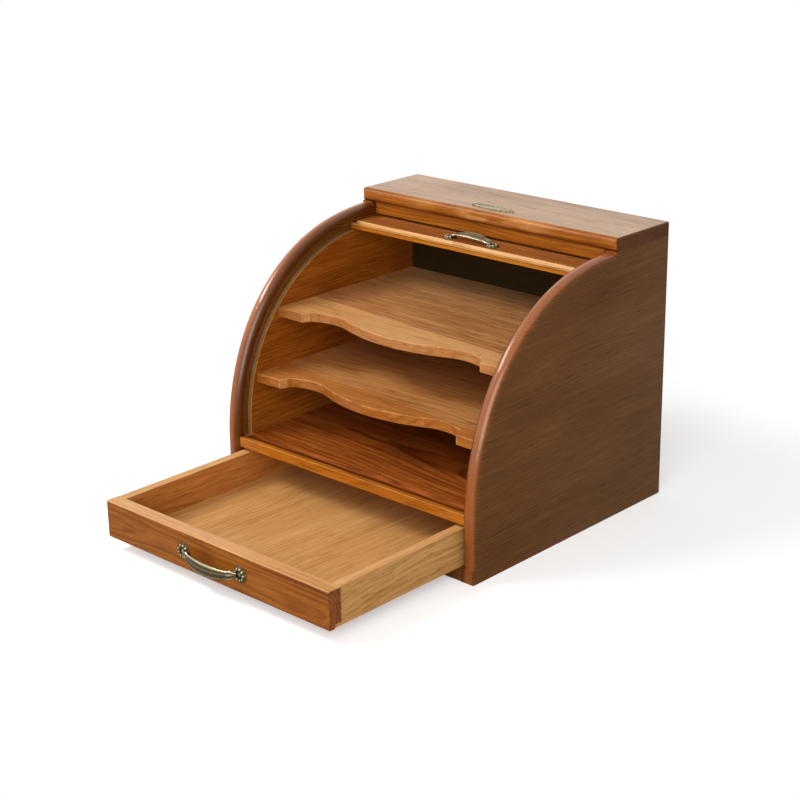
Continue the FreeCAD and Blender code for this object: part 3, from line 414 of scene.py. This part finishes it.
def board_finish(name, tones, grain, seed, rough=0.42, depth=0.75, **growth):
    """A board of one stain all over."""
    bench, _, figure = timber(name, grain, seed, **growth)
    return varnished(bench, figure, stained(bench, figure, tones, depth), rough)


def dress(name, material):
    """Give a frame node its finish."""
    mesh = nodes[name].data
    mesh.materials.clear()
    mesh.materials.append(material)


# Metal and cloth

BRASS_DARK, BRASS_BROWN, BRASS_BRIGHT = (paint(38, 33, 24), paint(112, 98, 70),
                                         paint(206, 194, 158))
ZINC_DULL, ZINC_BRIGHT = paint(120, 120, 118), paint(190, 190, 186)
CANVAS_DARK, CANVAS_PALE = paint(58, 42, 26), paint(104, 80, 52)
THREAD_PAIR = 0.7 * MM


def brass(name, label=None):
    """Cast brass, browned in its hollows and rubbed bright on its ridges; the dark hollows are
    partly patina, partly painted shade.
    """
    bench = Bench(name)
    place = bench.place()
    # the pull's own mark: rubbed ridges, and hollows dark from patina and painted shade
    if label:
        ridge = bench.mark(label, "Fac")
    else:
        ridge = bench.fade(bench.noise(place, 420.0, 3.0), 0.3, 0.7, 0.55, 0.85)
    speck = bench.noise(place, 900.0, 4.0, 0.6)
    cloud = bench.noise(place, 140.0, 3.0)
    bright = bench.clamp(ridge + (speck - 0.5) * 0.4 + (cloud - 0.5) * 0.3)
    low = bench.mix(BRASS_DARK, BRASS_BROWN, bench.fade(bright, 0.05, 0.5))
    colour = bench.mix(low, BRASS_BRIGHT, bench.fade(bright, 0.45, 0.95))
    return bench.finish({"Metallic": 0.92}, colour, 0.46 - bright * 0.2, speck * 0.5 + cloud,
                        0.08 * MM)


def steel(name):
    """Zinc-plated screws, dulled and finely scratched."""
    bench = Bench(name)
    speck = bench.noise(bench.place(), 700.0, 4.0)
    colour = bench.mix(ZINC_DULL, ZINC_BRIGHT, speck)
    return bench.finish({"Metallic": 1.0}, colour, 0.3 + speck * 0.25, speck, 0.05 * MM)


def cloth(name, label=None):
    """Brown canvas: a plain weave of threads a third of a millimetre apart."""
    bench = Bench(name)
    place = bench.place(label)
    x, y, z = bench.axes(place)
    turns = 2 * math.pi / THREAD_PAIR
    weave = bench.math("SINE", x * turns) * bench.math("SINE", (y + z) * turns)
    stain = bench.noise(place, 35.0, 3.0)
    colour = bench.mix(CANVAS_DARK, CANVAS_PALE, bench.clamp(stain + weave * 0.15))
    return bench.finish({"Specular IOR Level": 0.2}, colour, 0.9 + weave * 0.03, weave,
                        0.1 * MM)


# Case

def dress_case():
    """Finish every fixed board, back and fitting of the case."""
    for hand, name in enumerate(("left_side_panel", "right_side_panel")):
        dress(name, side_finish(name, 3 + 2 * hand))
    dress("top_board", top_finish())
    dress("top_rail", board_finish("rail_lacquer", HONEY, "X", 8, pith=(20, -70),
                                   lean=(0.2, 0.3)))
    dress("top_back_rail", board_finish("back_rail_wood", HONEY, "X", 9))
    dress("divider_board", divider_finish())
    dress("upper_shelf", shelf_finish("upper_shelf", TEAK, STAVE, 39 * MM, 13, pith=(20, -174),
                                      lean=(1.4, 2.4)))
    dress("lower_shelf", shelf_finish("lower_shelf", FADED, TAWNY, 84 * MM, 15,
                                      pith=(50, -106), lean=(1.8, -2.2)))
    dress("base_board", board_finish("base_lacquer", UMBER, "X", 17))
    # the inner back's dark tone is partly stain, partly painted shade
    for node, name, tones in (("inner_back", "inner_back_stain_and_shade", INNER_BACK_STAIN_AND_SHADE),
                              ("back_panel", "back_panel_ply", OUTER_BACK)):
        dress(node, board_finish(name, tones, "X", 23, rough=0.7, pith=(10, -160)))
    dress("top_dowels", board_finish("dowel_wood", RAW, "Z", 19))
    dress("name_plate", brass("plate_brass"))
    dress("name_plate_pins", brass("pin_brass"))
    dress("back_screws", steel("screw_zinc"))


def side_finish(name, seed):
    """Stained side with a glossy rolled front, painted shade on the roll's inner side and on the
    track's floor, the track's walls left raw and darker deeper in, and a painted grey sheen
    towards the back and bottom of the outer face.
    """
    bench, place, figure = timber(name + "_lacquer", "Y", seed, ring=2.6, pith=(70, 90),
                                  lean=(2.0, 1.5))
    low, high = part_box(name)
    inner_face, outer_face = sorted((abs(low[0]), abs(high[0])))
    x, y, z = bench.axes(place)
    depth = abs(x) - inner_face
    y = y - ROLL_AXIS[0]
    z = z - ROLL_AXIS[1]
    radius = (y * y + z * z) ** 0.5
    inside = bench.fade(depth, 3.0 * MM, -0.2 * MM)
    outside = bench.fade(outer_face - abs(x), 3.0 * MM, 0.4 * MM)
    rear = bench.fade(high[1] - ROLL_AXIS[0] - y, 2.0 * MM, 0.4 * MM)
    colour = bench.mix(stained(bench, figure, RUSSET, 0.35), stained(bench, figure, WALL),
                       inside)
    # the outer face turns to a painted grey sheen towards the back and bottom
    face = bench.mix(stained(bench, figure, UMBER, 0.6), stained(bench, figure, ASHEN_PAINTED_SHEEN, 0.6),
                     bench.fade(y - z * 0.7, -150 * MM, 60 * MM))
    colour = bench.mix(colour, face, bench.clamp(outside + rear))
    # painted shade on the roll's inner side, outside the track, darkest near the inner face
    lip = bench.fade(radius, TRACK_RIM, TRACK_RIM + 0.6 * MM)
    shade = lip * bench.fade(depth, 7.5 * MM, 2.0 * MM, 0.0, 0.75)
    colour = bench.mix(colour, ROLL_INNER_PAINTED_SHADE, shade)
    in_track = (bench.fade(depth, 0.05 * MM, 0.4 * MM) * bench.fade(depth, 6.6 * MM, 6.4 * MM)
                * bench.fade(radius, TRACK_RIM + 0.5 * MM, TRACK_RIM))
    wall = bench.mix(stained(bench, figure, RAW), TRACK_WALL,
                     bench.fade(depth, 0.6 * MM, 1.4 * MM, 0.0, 0.5))
    # painted shade on the track's floor
    raw = bench.mix(wall, TRACK_FLOOR_PAINTED_SHADE, bench.fade(depth, 5.2 * MM, 5.9 * MM, 0.0, 0.85))
    colour = bench.mix(colour, raw, in_track)
    flat = bench.fade(inside + outside, 0.0, 1.0)
    return varnished(bench, figure, colour, 0.46, 1.0 - flat * 0.9, flat * 0.8 + 0.2)


def top_finish():
    """The top board: greyed above, partly a painted sheen, honey on its rounded front with
    painted shade under it, dark at its ends.
    """
    bench, place, figure = timber("top_lacquer", "X", 5, ring=3.6, pith=(-60, -270),
                                  lean=(1.0, 2.2))
    low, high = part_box("top_board")
    x, y, z = bench.axes(place)
    waver = bench.waver(place, (12, 60, 60), 3 * MM)
    nose = bench.fade(y - low[1] + waver, 6.0 * MM, 3.0 * MM)
    worn = bench.fade(bench.drawn_out(place, (18, 90, 90), 3.0), 0.4, 0.65)
    handled = worn * bench.fade(abs(x), 130 * MM, 20 * MM) * 0.8
    end = bench.fade(high[0] - abs(x), 1.4 * MM, 0.4 * MM)
    under = bench.fade(z - low[2], 3.0 * MM, 0.4 * MM)
    front = bench.mix(stained(bench, figure, HONEY), RUBBED_NOSE, handled)
    # the grey above is partly a painted sheen
    colour = bench.mix(stained(bench, figure, GREYED_AND_PAINTED_SHEEN, 1.1), front, nose)
    # painted shade under the rounded front
    colour = bench.mix(colour, NOSE_UNDERSIDE_PAINTED_SHADE, nose * under * 0.9)
    colour = bench.mix(colour, stained(bench, figure, UMBER), end)
    colour = bench.mix(colour, BOARD_END, end * 0.45)
    film = (1.0 - bench.clamp(nose + end)) * 0.25 + 0.1
    return varnished(bench, figure, colour, coat=film)


def divider_finish():
    """The divider: red-brown arches of grain, a dark line of stain and painted shade, and a honey
    strip in front.
    """
    bench, place, figure = timber("divider_lacquer", "X", 11, ring=5.0, pith=(62, -44),
                                  lean=(0.6, 3.4))
    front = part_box("divider_board")[0][1]
    _, y, _ = bench.axes(place)
    behind = y - front + bench.waver(place, (20, 90, 90), 1.5 * MM)
    strip = bench.fade(behind, 9.6 * MM, 8.6 * MM)
    # the dark line behind the strip is partly stain, partly painted shade
    line = bench.fade(behind, 8.6 * MM, 9.6 * MM) * bench.fade(behind, 15 * MM, 11 * MM)
    colour = bench.mix(stained(bench, figure, CHESTNUT, 1.0, 0.55),
                       stained(bench, figure, ORANGE), strip)
    colour = bench.mix(colour, REBATE_STAIN_AND_SHADE, line * 0.8)
    return varnished(bench, figure, colour, 0.4, 0.3)


def shelf_finish(name, tones, front_tones, seam, seed, **growth):
    """A shelf glued up from two staves, the front one of another tone, its arris rubbed, and
    painted light making it paler towards the back.
    """
    bench, place, figure = timber(name + "_lacquer", "X", seed, **growth)
    low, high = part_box(name)
    x, y, z = bench.axes(place)
    ahead = bench.fade(y + x * 0.08 + seam, 1.0 * MM, -1.0 * MM)
    colour = bench.mix(stained(bench, figure, tones, 1.0),
                       stained(bench, figure, front_tones), ahead)
    # painted light: paler towards the back
    colour = bench.mix(colour, stained(bench, figure, REAR_PAINTED_LIGHT, 1.0),
                       bench.fade(y, 10 * MM, 110 * MM, 0.0, 0.8))
    corners = node_points(name)
    tabs = corners[np.abs(corners[:, 0]) > 60 * MM]
    tab_front = tabs[:, 1].min()
    tab_end = np.abs(tabs[tabs[:, 1] < tab_front + 0.5 * MM, 0]).min()
    facet = (bench.fade(abs(x), tab_end + 1.5 * MM, tab_end)
             * bench.fade(abs(x), tab_end - 7 * MM, tab_end - 5 * MM)
             * bench.fade(y, tab_front + 9 * MM, tab_front + 6 * MM))
    rubbed = bench.fade(bench.noise(place, 70.0, 3.0), 0.4, 0.65, 0.0, 0.5)
    middle, half = (low[2] + high[2]) / 2, (high[2] - low[2]) / 2
    from_face = half - abs(z - middle)
    edge = bench.fade(from_face, 0.02 * MM, 0.12 * MM)
    arris = edge * bench.fade(from_face, 0.9 * MM, 0.6 * MM)
    colour = bench.mix(colour, stained(bench, figure, HONEY), edge * 0.6)
    colour = bench.mix(colour, stained(bench, figure, STAVE), edge * facet * 0.7)
    colour = bench.mix(colour, RUBBED_ARRIS, arris * rubbed)
    return varnished(bench, figure, colour, coat=0.3)


# Drawer

def dress_drawer():
    """Finish the drawer's boards."""
    dress("drawer_front", drawer_front_finish())
    for seed, name in ((31, "drawer_left_side"), (33, "drawer_right_side")):
        dress(name, drawer_side_finish(name, seed))
    dress("drawer_back", board_finish("drawer_back_wood", RAW, "X", 35))
    dress("drawer_bottom", board_finish("drawer_bottom_ply", RAW, "Y", 37, depth=0.7, ring=2.6,
                                        pith=(150, -220), lean=(0.4, 1.2)))


def drawer_front_finish():
    """Stained face with a swirling figure, a top edge left raw and dark ends."""
    bench, place, figure = timber("drawer_front_lacquer", "X", 29, ring=4.6, pith=(320, -30),
                                  lean=(0.6, 1.6))
    _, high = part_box("drawer_front")
    x, _, z = bench.axes(place)
    waver = bench.waver(place, (40, 40, 160), 0.7 * MM)
    top = bench.fade(high[2] - z + waver, 0.9 * MM, 0.5 * MM)
    end = bench.fade(high[0] - abs(x), 0.6 * MM, 0.2 * MM)
    swirl = bench.drawn_out(place, (22, 22, 46), 3.0, 0.55)
    colour = bench.mix(stained(bench, figure, AMBER, 0.7, 0.7), SWIRL,
                       bench.fade(swirl, 0.48, 0.66, 0.0, 0.45))
    colour = bench.mix(colour, stained(bench, figure, RUSSET, 1.2), end)
    colour = bench.mix(colour, stained(bench, figure, STAVE, 0.6), top)
    return varnished(bench, figure, colour, coat=0.15)


def drawer_side_finish(name, seed):
    """Pale side boards, stained only on their inner faces."""
    bench, place, figure = timber(name + "_wood", "Y", seed, ring=3.4, pith=(60, 30),
                                  lean=(1.0, 2.0))
    low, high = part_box(name)
    inner_face = min(abs(low[0]), abs(high[0]))
    x, _, z = bench.axes(place)
    inside = (bench.fade(abs(x) - inner_face, 0.5 * MM, 0.2 * MM)
              * bench.fade(high[2] - z, 0.2 * MM, 0.6 * MM))
    top = bench.fade(high[2] - z, 0.6 * MM, 0.2 * MM)
    colour = bench.mix(stained(bench, figure, RAW, 0.9), stained(bench, figure, TAWNY, 0.8),
                       inside)
    colour = bench.mix(colour, stained(bench, figure, STAVE), top)
    return varnished(bench, figure, colour, 0.5)


# Curtain

HALVINGS = 48
CANVAS_STATIONS = 260
SLAT_GAP = 0.4 * MM
SLAT_SHOULDER = 6.0 * MM


def dress_curtain():
    """Finish the parts of the curtain that stay as the frame has them."""
    lacquer = wood_of_slats("slat_lacquer")
    for number in range(1, SLAT_COUNT + 1):
        dress(f"slat_{number:02d}", lacquer)
    dress("lead_slat", lead_finish())
    for name in ("canvas_front", "canvas_tail"):
        dress(name, cloth(name + "_weave"))


def lead_finish():
    """The lead slat: red-brown on its face, raw on its bevel, honey on its front edge, and
    darkened towards its back by a painted shadow of the rail.
    """
    bench, place, figure = timber("lead_lacquer", "X", 43, ring=5.0, pith=(30, -80),
                                  lean=(0.1, 0.2))
    _, y, z = bench.axes(place)
    y = y - ROLL_AXIS[0]
    z = z - ROLL_AXIS[1]
    back = y * math.sin(TRAVEL) + z * math.cos(TRAVEL)
    out = z * math.sin(TRAVEL) - y * math.cos(TRAVEL)
    points = node_points("lead_slat") - from_polar(0.0, 0.0, TRAVEL)
    front = (points @ np.array([0.0, math.sin(TRAVEL), math.cos(TRAVEL)])).min()
    face = (points @ np.array([0.0, -math.cos(TRAVEL), math.sin(TRAVEL)])).max()
    waver = bench.waver(place, (25, 90, 90), 0.6 * MM)
    behind, below = back - front + waver, face - out + waver
    bevel = bench.fade(behind, 3.4 * MM, 3.1 * MM) * bench.fade(below, 4.7 * MM, 4.3 * MM)
    edge = bench.fade(back - front, 0.3 * MM, 0.1 * MM)
    rail_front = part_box("top_rail")[0][1] - ROLL_AXIS[0]
    # painted shadow of the rail, darkening the lead towards its back
    rail_shadow = bench.fade(back, rail_front - 6 * MM, rail_front - 3.5 * MM, 0.0, 0.85)
    line = bench.fade(behind, 4.1 * MM, 3.8 * MM) * bench.fade(behind, 3.0 * MM, 3.3 * MM)
    low_line = bench.fade(below, 4.2 * MM, 4.5 * MM) * bench.fade(below, 5.4 * MM, 5.0 * MM)
    colour = bench.mix(stained(bench, figure, RUSSET), stained(bench, figure, ORANGE), edge)
    colour = bench.mix(colour, stained(bench, figure, RAW, 1.0), bevel)
    colour = bench.mix(colour, BEVEL_LINE, bench.clamp(line + low_line) * 0.6)
    colour = bench.mix(colour, RAIL_PAINTED_SHADOW, rail_shadow)
    return varnished(bench, figure, colour, coat=0.1, depth=FINE_PORE_DEPTH)


def wood_of_slats(name, label=None):
    """Red-brown slats with a fine, straight figure."""
    bench, _, figure = timber(name, "X", 41, label, ring=6.0, pith=(30, -80))
    gloss = 0.4 + (figure["fibre"] - 0.5) * 0.14
    return bench.finish(SHELLAC, stained(bench, figure, RUSSET), gloss, figure["fibre"],
                        FINE_PORE_DEPTH)


def blend_weight(radius, angle):
    """How far a point follows the curtain: a smooth step along the line of the blend."""
    mean_radius = canvas_radius.max()
    start = from_polar(0.0, mean_radius, BLEND_FROM)[1:]
    end = from_polar(0.0, mean_radius, BLEND_TO)[1:]
    way = end - start
    y = ROLL_AXIS[0] - radius * np.cos(angle) - start[0]
    z = ROLL_AXIS[1] + radius * np.sin(angle) - start[1]
    share = np.clip((y * way[0] + z * way[1]) / (way @ way), 0, 1)
    return share * share * (3 - 2 * share)


def angle_at_rest(radius, closed):
    """The angle from which the blend carries a point to its closed angle, by halving."""
    low, high = closed + 0.0, closed + TRAVEL
    for _ in range(HALVINGS):
        middle = (low + high) / 2
        short = middle - TRAVEL * blend_weight(radius, middle) < closed
        low, high = np.where(short, middle, low), np.where(short, high, middle)
    return (low + high) / 2


def gathered(closed_points):
    """Points of the closed curtain, brought to where they lie at rest."""
    radius, closed = to_polar(closed_points)
    return from_polar(closed_points[..., 0], radius, angle_at_rest(radius, closed))


def slat_section(steps=12):
    """A slat's outline, along and out from the cloth: square below, a round crown above.

    The crown's height over the shoulder is one less the square of the way along it.
    """
    low, high = slat_radius.min(), slat_radius.max()
    half = SLAT_PITCH * low / 2 - SLAT_GAP / 2
    shoulder = low + SLAT_SHOULDER
    sweep = np.linspace(-1, 1, steps)
    top = np.stack([-half * sweep, shoulder + (high - shoulder) * (1 - sweep ** 2)], -1)
    foot = np.array([[-half, low], [0.0, low], [half, low]])
    return np.concatenate([foot, top])


def rolling_slats():
    """The slats behind the first one: even when closed, gathered behind the rail at rest."""
    ahead, out = slat_section().T
    length = np.abs(node_points("slat_01")[:, 0]).max()
    across = np.linspace(-length, length, 5)
    skins, closed = [], []
    for number in range(2, SLAT_COUNT + 1):
        turn = slat_angle(1) + (number - 1) * SLAT_PITCH - TRAVEL
        y = ROLL_AXIS[0] - out * math.cos(turn) + ahead * math.sin(turn)
        z = ROLL_AXIS[1] + out * math.sin(turn) + ahead * math.cos(turn)
        points = np.stack(np.broadcast_arrays(across[:, None], y, z), -1)
        skins.append(skin(gathered(points)))
        closed.append(along_skin(points))
    piece = make_piece("rolling_slats", skins, wood_of_slats("rolling_slat_wood", "closed_place"),
                       marks=[("closed_place", "FLOAT_VECTOR", np.concatenate(closed))])
    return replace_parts(piece, *[f"slat_{number:02d}" for number in range(2, 6)])


def rolling_canvas():
    """The canvas under the rolling slats: an arc of one radius, from the lead to the last."""
    half = np.abs(node_points("canvas_front")[:, 0]).max()
    last = slat_angle(1) + (SLAT_COUNT - 0.5) * SLAT_PITCH - TRAVEL
    turns = np.linspace(canvas_angle.min() - TRAVEL, last, CANVAS_STATIONS)
    inside, outside = canvas_radius.min(), canvas_radius.max()
    x = np.array([-half, 0.0, half, half, 0.0, -half])
    radius = np.array([outside, outside, outside, inside, inside, inside])
    points = from_polar(x[None, :], radius[None, :], turns[:, None])
    piece = make_piece("rolling_canvas", [skin(gathered(points))],
                       cloth("rolling_canvas_weave", "closed_place"),
                       marks=[("closed_place", "FLOAT_VECTOR", along_skin(points))])
    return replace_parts(piece, "canvas_front")


# Pulls

PETALS = 9
SHELL_SEAT = 1.4 * MM
LEAF_REACH = 0.95
DRAWER_PULL = {"spacing": 76 * MM, "radius": 8.2 * MM, "rise": 9.2 * MM, "droop": 4.5 * MM,
               "blade": 12 * MM, "neck": 5.6 * MM, "thick": 2.4 * MM, "widest": -0.2,
               "tilt": 0}
CURTAIN_PULL = {"spacing": 55 * MM, "radius": 6.9 * MM, "rise": 7.2 * MM, "droop": 0.6 * MM,
                "blade": 9.6 * MM, "neck": 4.6 * MM, "thick": 2.0 * MM, "widest": 0.15,
                "tilt": 17}


def hump(value, middle, width):
    """A bell about a middle: the exponential of less the squared distance over the width."""
    return np.exp(-((value - middle) / width) ** 2)


def shell(radius):
    """A cast shell: petals that rise to a ring and fall to a scalloped rim.

    At share s of the radius and angle a, the height is a low floor plus a round ridge
    about s = 0.64, fluted by the cosine of nine times a, and the rim swells with it.
    """
    angle = np.linspace(0, 2 * math.pi, 144, endpoint=False)
    flute = 0.5 + 0.5 * np.cos(PETALS * angle)
    share = np.concatenate([np.linspace(0.02, 1.0, 34), [1.02, 1.0, 0.5, 0.02]])[:, None]
    ridge = hump(share, 0.64, 0.2)
    height = SHELL_SEAT + ridge * (0.75 + 0.85 * flute) * MM - 0.55 * MM * share ** 4
    height[-4:] = np.array([[0.45], [0.0], [0.0], [0.0]]) * MM
    reach = radius * share * (1 - 0.07 * (1 - flute) * share ** 2)
    points = np.stack([reach * np.cos(angle), reach * np.sin(angle), height], -1)
    # bright on the ridge and rim, dark between and at the centre: rubbing and patina, with
    # painted shade
    wear_and_shade = np.clip(ridge * (0.25 + 0.75 * flute) + 0.35 * share ** 6, 0, 1)
    return points, wear_and_shade


def leaf_bow(spacing, rise, droop, blade, neck, thick, widest, tilt):
    """The leaf between the shells, carried along an arch.

    Its width is the neck's plus a belly, the cosine of the way out from its widest place,
    and a curl by each shell. A ridge and two rolled rims run along its outer face, which
    tilts down toward the front by as much as the belly swells.
    """
    along = np.linspace(-LEAF_REACH, LEAF_REACH, 221)[:, None]
    around = np.linspace(0, 2 * math.pi, 72, endpoint=False)[None, :]
    share = 1 - along ** 2
    way = np.where(along < widest, (widest - along) / (widest + LEAF_REACH),
                   (along - widest) / (LEAF_REACH - widest))
    belly = np.cos(math.pi / 2 * np.clip(way, 0, 0.999) ** 1.3)
    curl = hump(np.abs(along) / LEAF_REACH, 0.82, 0.07)
    width = neck * 0.75 + (blade - neck * 0.75) * belly + 2.2 * MM * curl
    sideways = np.cos(around)
    outer = np.sin(around)
    ridge = hump(sideways, 0.12, 0.16)
    rims = hump(np.abs(sideways), 0.82, 0.16) * np.where(sideways > 0, 1, 0.65)
    eye = curl * hump(np.abs(sideways), 0.45, 0.2)
    turn = math.radians(tilt) * belly
    x = spacing / 2 * along + 0 * around
    y = -droop * share + width / 2 * sideways * np.cos(turn)
    lift = SHELL_SEAT + (rise - SHELL_SEAT) * share ** 0.8 + width / 2 * sideways * np.sin(turn)
    swell = 0.3 * ridge + 0.45 * rims + 0.45 * curl - 0.5 * eye
    z = lift + thick / 2 * outer + swell * MM * np.clip(outer, 0, 1)
    # rubbed ridge and rims; painted shade in the curl's eye and on the leaf's back
    wear_and_shade = np.clip(0.36 + 0.3 * ridge + 0.62 * rims + 0.3 * curl - 0.5 * eye - 0.3 * (outer < 0),
                    0, 1)
    return np.stack([x, y, z], -1), wear_and_shade


def cast_pull(name, node, seat, spacing, radius, **leaf):
    """A whole pull in its own frame, put on its seat: two shells and the leaf between."""
    parts = [leaf_bow(spacing, **leaf)]
    for hand in (-1, 1):
        points, wear_and_shade = shell(radius)
        parts.append((points + np.array([hand * spacing / 2, 0, 0]), wear_and_shade))
    skins = [skin(points @ seat[:3, :3].T + seat[:3, 3]) for points, _ in parts]
    wear_and_shade_values = np.concatenate([along_skin(wear_and_shade) for _, wear_and_shade in parts])
    piece = make_piece(name, skins, brass(name + "_brass", "wear_and_shade"), crease=60,
                       marks=[("wear_and_shade", "FLOAT", wear_and_shade_values)])
    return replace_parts(piece, node)


def seat_frame(foot, outward, upward):
    """Where a pull sits: X along it, Y up its face and Z out of the wood."""
    outward, upward = np.array(outward, float), np.array(upward, float)
    seat = np.eye(4)
    seat[:3, :3] = np.stack([np.cross(upward, outward), upward, outward], -1)
    seat[:3, 3] = foot
    return seat


def build_pulls():
    """The drawer's pull on its front, and the curtain's on the lead."""
    low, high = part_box("drawer_front")
    drawer_seat = seat_frame((0, low[1], (low[2] + high[2]) / 2), (0, -1, 0), (0, 0, 1))
    pull = cast_pull("drawer_bow_pull", "drawer_pull", drawer_seat, **DRAWER_PULL)
    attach(pull, "drawer")
    outward = from_polar(0.0, 1.0, TRAVEL) - from_polar(0.0, 0.0, TRAVEL)
    reach = (node_points("lead_slat") - from_polar(0.0, 0.0, TRAVEL)) @ outward
    foot = from_polar(0.0, reach.max(), TRAVEL)
    backward = (0.0, math.sin(TRAVEL), math.cos(TRAVEL))
    pull = cast_pull("curtain_bow_pull", "tambour_pull", seat_frame(foot, outward, backward),
                     **CURTAIN_PULL)
    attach(pull, "curtain")
    for name in ("drawer_pull_screws", "tambour_pull_screws"):
        dress(name, brass(name + "_brass"))


# Stage

PICTURE = 800
FOCAL = 1761.6
SENSOR = 36.0
AZIMUTH, ELEVATION, ROLL = (math.radians(a) for a in (43.26, 19.91, -0.879))
TARGET = np.array([-46.9, -12.5, 93.2]) * MM
DISTANCE = 1.791

# Name, place, aim, width, height and watts of each lamp
LAMPS = (("key", (-0.76, -0.92, 1.33), (0.0, -0.05, 0.12), 0.75, 0.32, 10.5),
         ("edge", (-1.08, -0.62, 1.28), (0.0, -0.05, 0.12), 0.5, 0.26, 5.5),
         ("fill", (1.05, -1.45, 0.85), (0.0, -0.05, 0.1), 1.3, 1.3, 18.0))
ROOM_LIGHT = 0.36
SEEN_RAYS = ("Is Camera Ray", "Is Glossy Ray", "Is Transmission Ray")

WHITE = (1.0, 1.0, 1.0, 1.0)
FLOOR_REACH = 3.0
FLOOR_TONE = (0.5, 0.49, 0.48, 1)
FLOOR_GLOW = (0.4, 0.4, 0.4, 1)
NO_GLOW = (0.0, 0.0, 0.0, 1)
FADE_FROM, FADE_TO = 0.3, 0.6


def facing(right, up, back, place):
    """The matrix of something that looks against its back."""
    matrix = np.eye(4)
    matrix[:3, :3] = np.stack([right, up, back], -1)
    matrix[:3, 3] = place
    return Matrix(matrix.tolist())


def set_camera():
    """The camera at the picture's angle, turned about its own line of sight."""
    right = np.array([math.cos(AZIMUTH), math.sin(AZIMUTH), 0.0])
    back = np.array([math.sin(AZIMUTH) * math.cos(ELEVATION),
                     -math.cos(AZIMUTH) * math.cos(ELEVATION), math.sin(ELEVATION)])
    up = np.cross(back, right)
    turned = math.cos(ROLL) * right + math.sin(ROLL) * up
    risen = -math.sin(ROLL) * right + math.cos(ROLL) * up
    lens = bpy.data.cameras.new("camera")
    lens.sensor_width = SENSOR
    lens.lens = SENSOR * FOCAL / PICTURE
    camera = bpy.data.objects.new("camera", lens)
    camera.matrix_world = facing(turned, risen, back, TARGET + DISTANCE * back)
    bpy.context.scene.collection.objects.link(camera)
    bpy.context.scene.camera = camera


def add_lamp(name, place, aim, width, tall, watts):
    """A soft box of that width and height that looks at its aim."""
    light = bpy.data.lights.new(name, "AREA")
    light.shape = "RECTANGLE"
    light.size = width
    light.size_y = tall
    light.energy = watts
    lamp = bpy.data.objects.new(name, light)
    away = np.array(place, float) - np.array(aim, float)
    away /= np.linalg.norm(away)
    side = np.cross((0.0, 0.0, 1.0), away)
    side /= np.linalg.norm(side)
    lamp.matrix_world = facing(side, np.cross(away, side), away, place)
    bpy.context.scene.collection.objects.link(lamp)


def light_studio():
    """Two lamps over the viewer's left, a softer one by the viewer, and a white room."""
    for lamp in LAMPS:
        add_lamp(*lamp)
    bench = Bench("studio", bpy.data.worlds)
    bpy.context.scene.world = bench.block
    camera, glossy, through = bench.outputs(bench.node("ShaderNodeLightPath"), SEEN_RAYS)
    seen = bench.math("MAXIMUM", bench.math("MAXIMUM", camera, glossy), through)
    level = bench.node("ShaderNodeMapRange", inputs={"Value": seen, "To Min": ROOM_LIGHT,
                                                     "To Max": 1.0})
    shade = bench.node("ShaderNodeBackground", inputs={"Color": WHITE, "Strength": level})
    bench.node("ShaderNodeOutputWorld", inputs={"Surface": shade})


def lay_floor():
    """A pale floor that takes the shadow and fades into the white room."""
    mesh = bpy.data.meshes.new("floor")
    edge = FLOOR_REACH
    mesh.from_pydata([(-edge, -edge, 0), (edge, -edge, 0), (edge, edge, 0), (-edge, edge, 0)],
                     [], [(0, 1, 2, 3)])
    floor = bpy.data.objects.new("floor", mesh)
    bpy.context.scene.collection.objects.link(floor)
    bench = Bench("floor_paint")
    far = bench.node("ShaderNodeVectorMath", {"operation": "LENGTH"}, {0: bench.place()},
                     output="Value")
    ray = bench.node("ShaderNodeLightPath", output="Is Camera Ray")
    matt = bench.node("ShaderNodeBsdfDiffuse", inputs={"Color": bench.mix(
        FLOOR_TONE, WHITE, ray)})
    lift = bench.node("ShaderNodeEmission", inputs={"Color": bench.mix(
        NO_GLOW, FLOOR_GLOW, ray)})
    both = bench.node("ShaderNodeAddShader", inputs={0: matt, 1: lift})
    clear = bench.node("ShaderNodeBsdfTransparent")
    surface = bench.node("ShaderNodeMixShader", inputs={
        0: bench.fade(far, FADE_FROM, FADE_TO) * ray, 1: both, 2: clear})
    bench.node("ShaderNodeOutputMaterial", inputs={"Surface": surface})
    mesh.materials.append(bench.block)


dress_case()
dress_drawer()
dress_curtain()
for piece in (rolling_slats(), rolling_canvas()):
    from_polar(0.0, canvas_radius.max(), BLEND_FROM)
    from_polar(0.0, canvas_radius.max(), BLEND_TO)
    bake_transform(piece)
build_pulls()
set_camera()
light_studio()
lay_floor()
bpy.context.scene.view_settings.view_transform = "Standard"
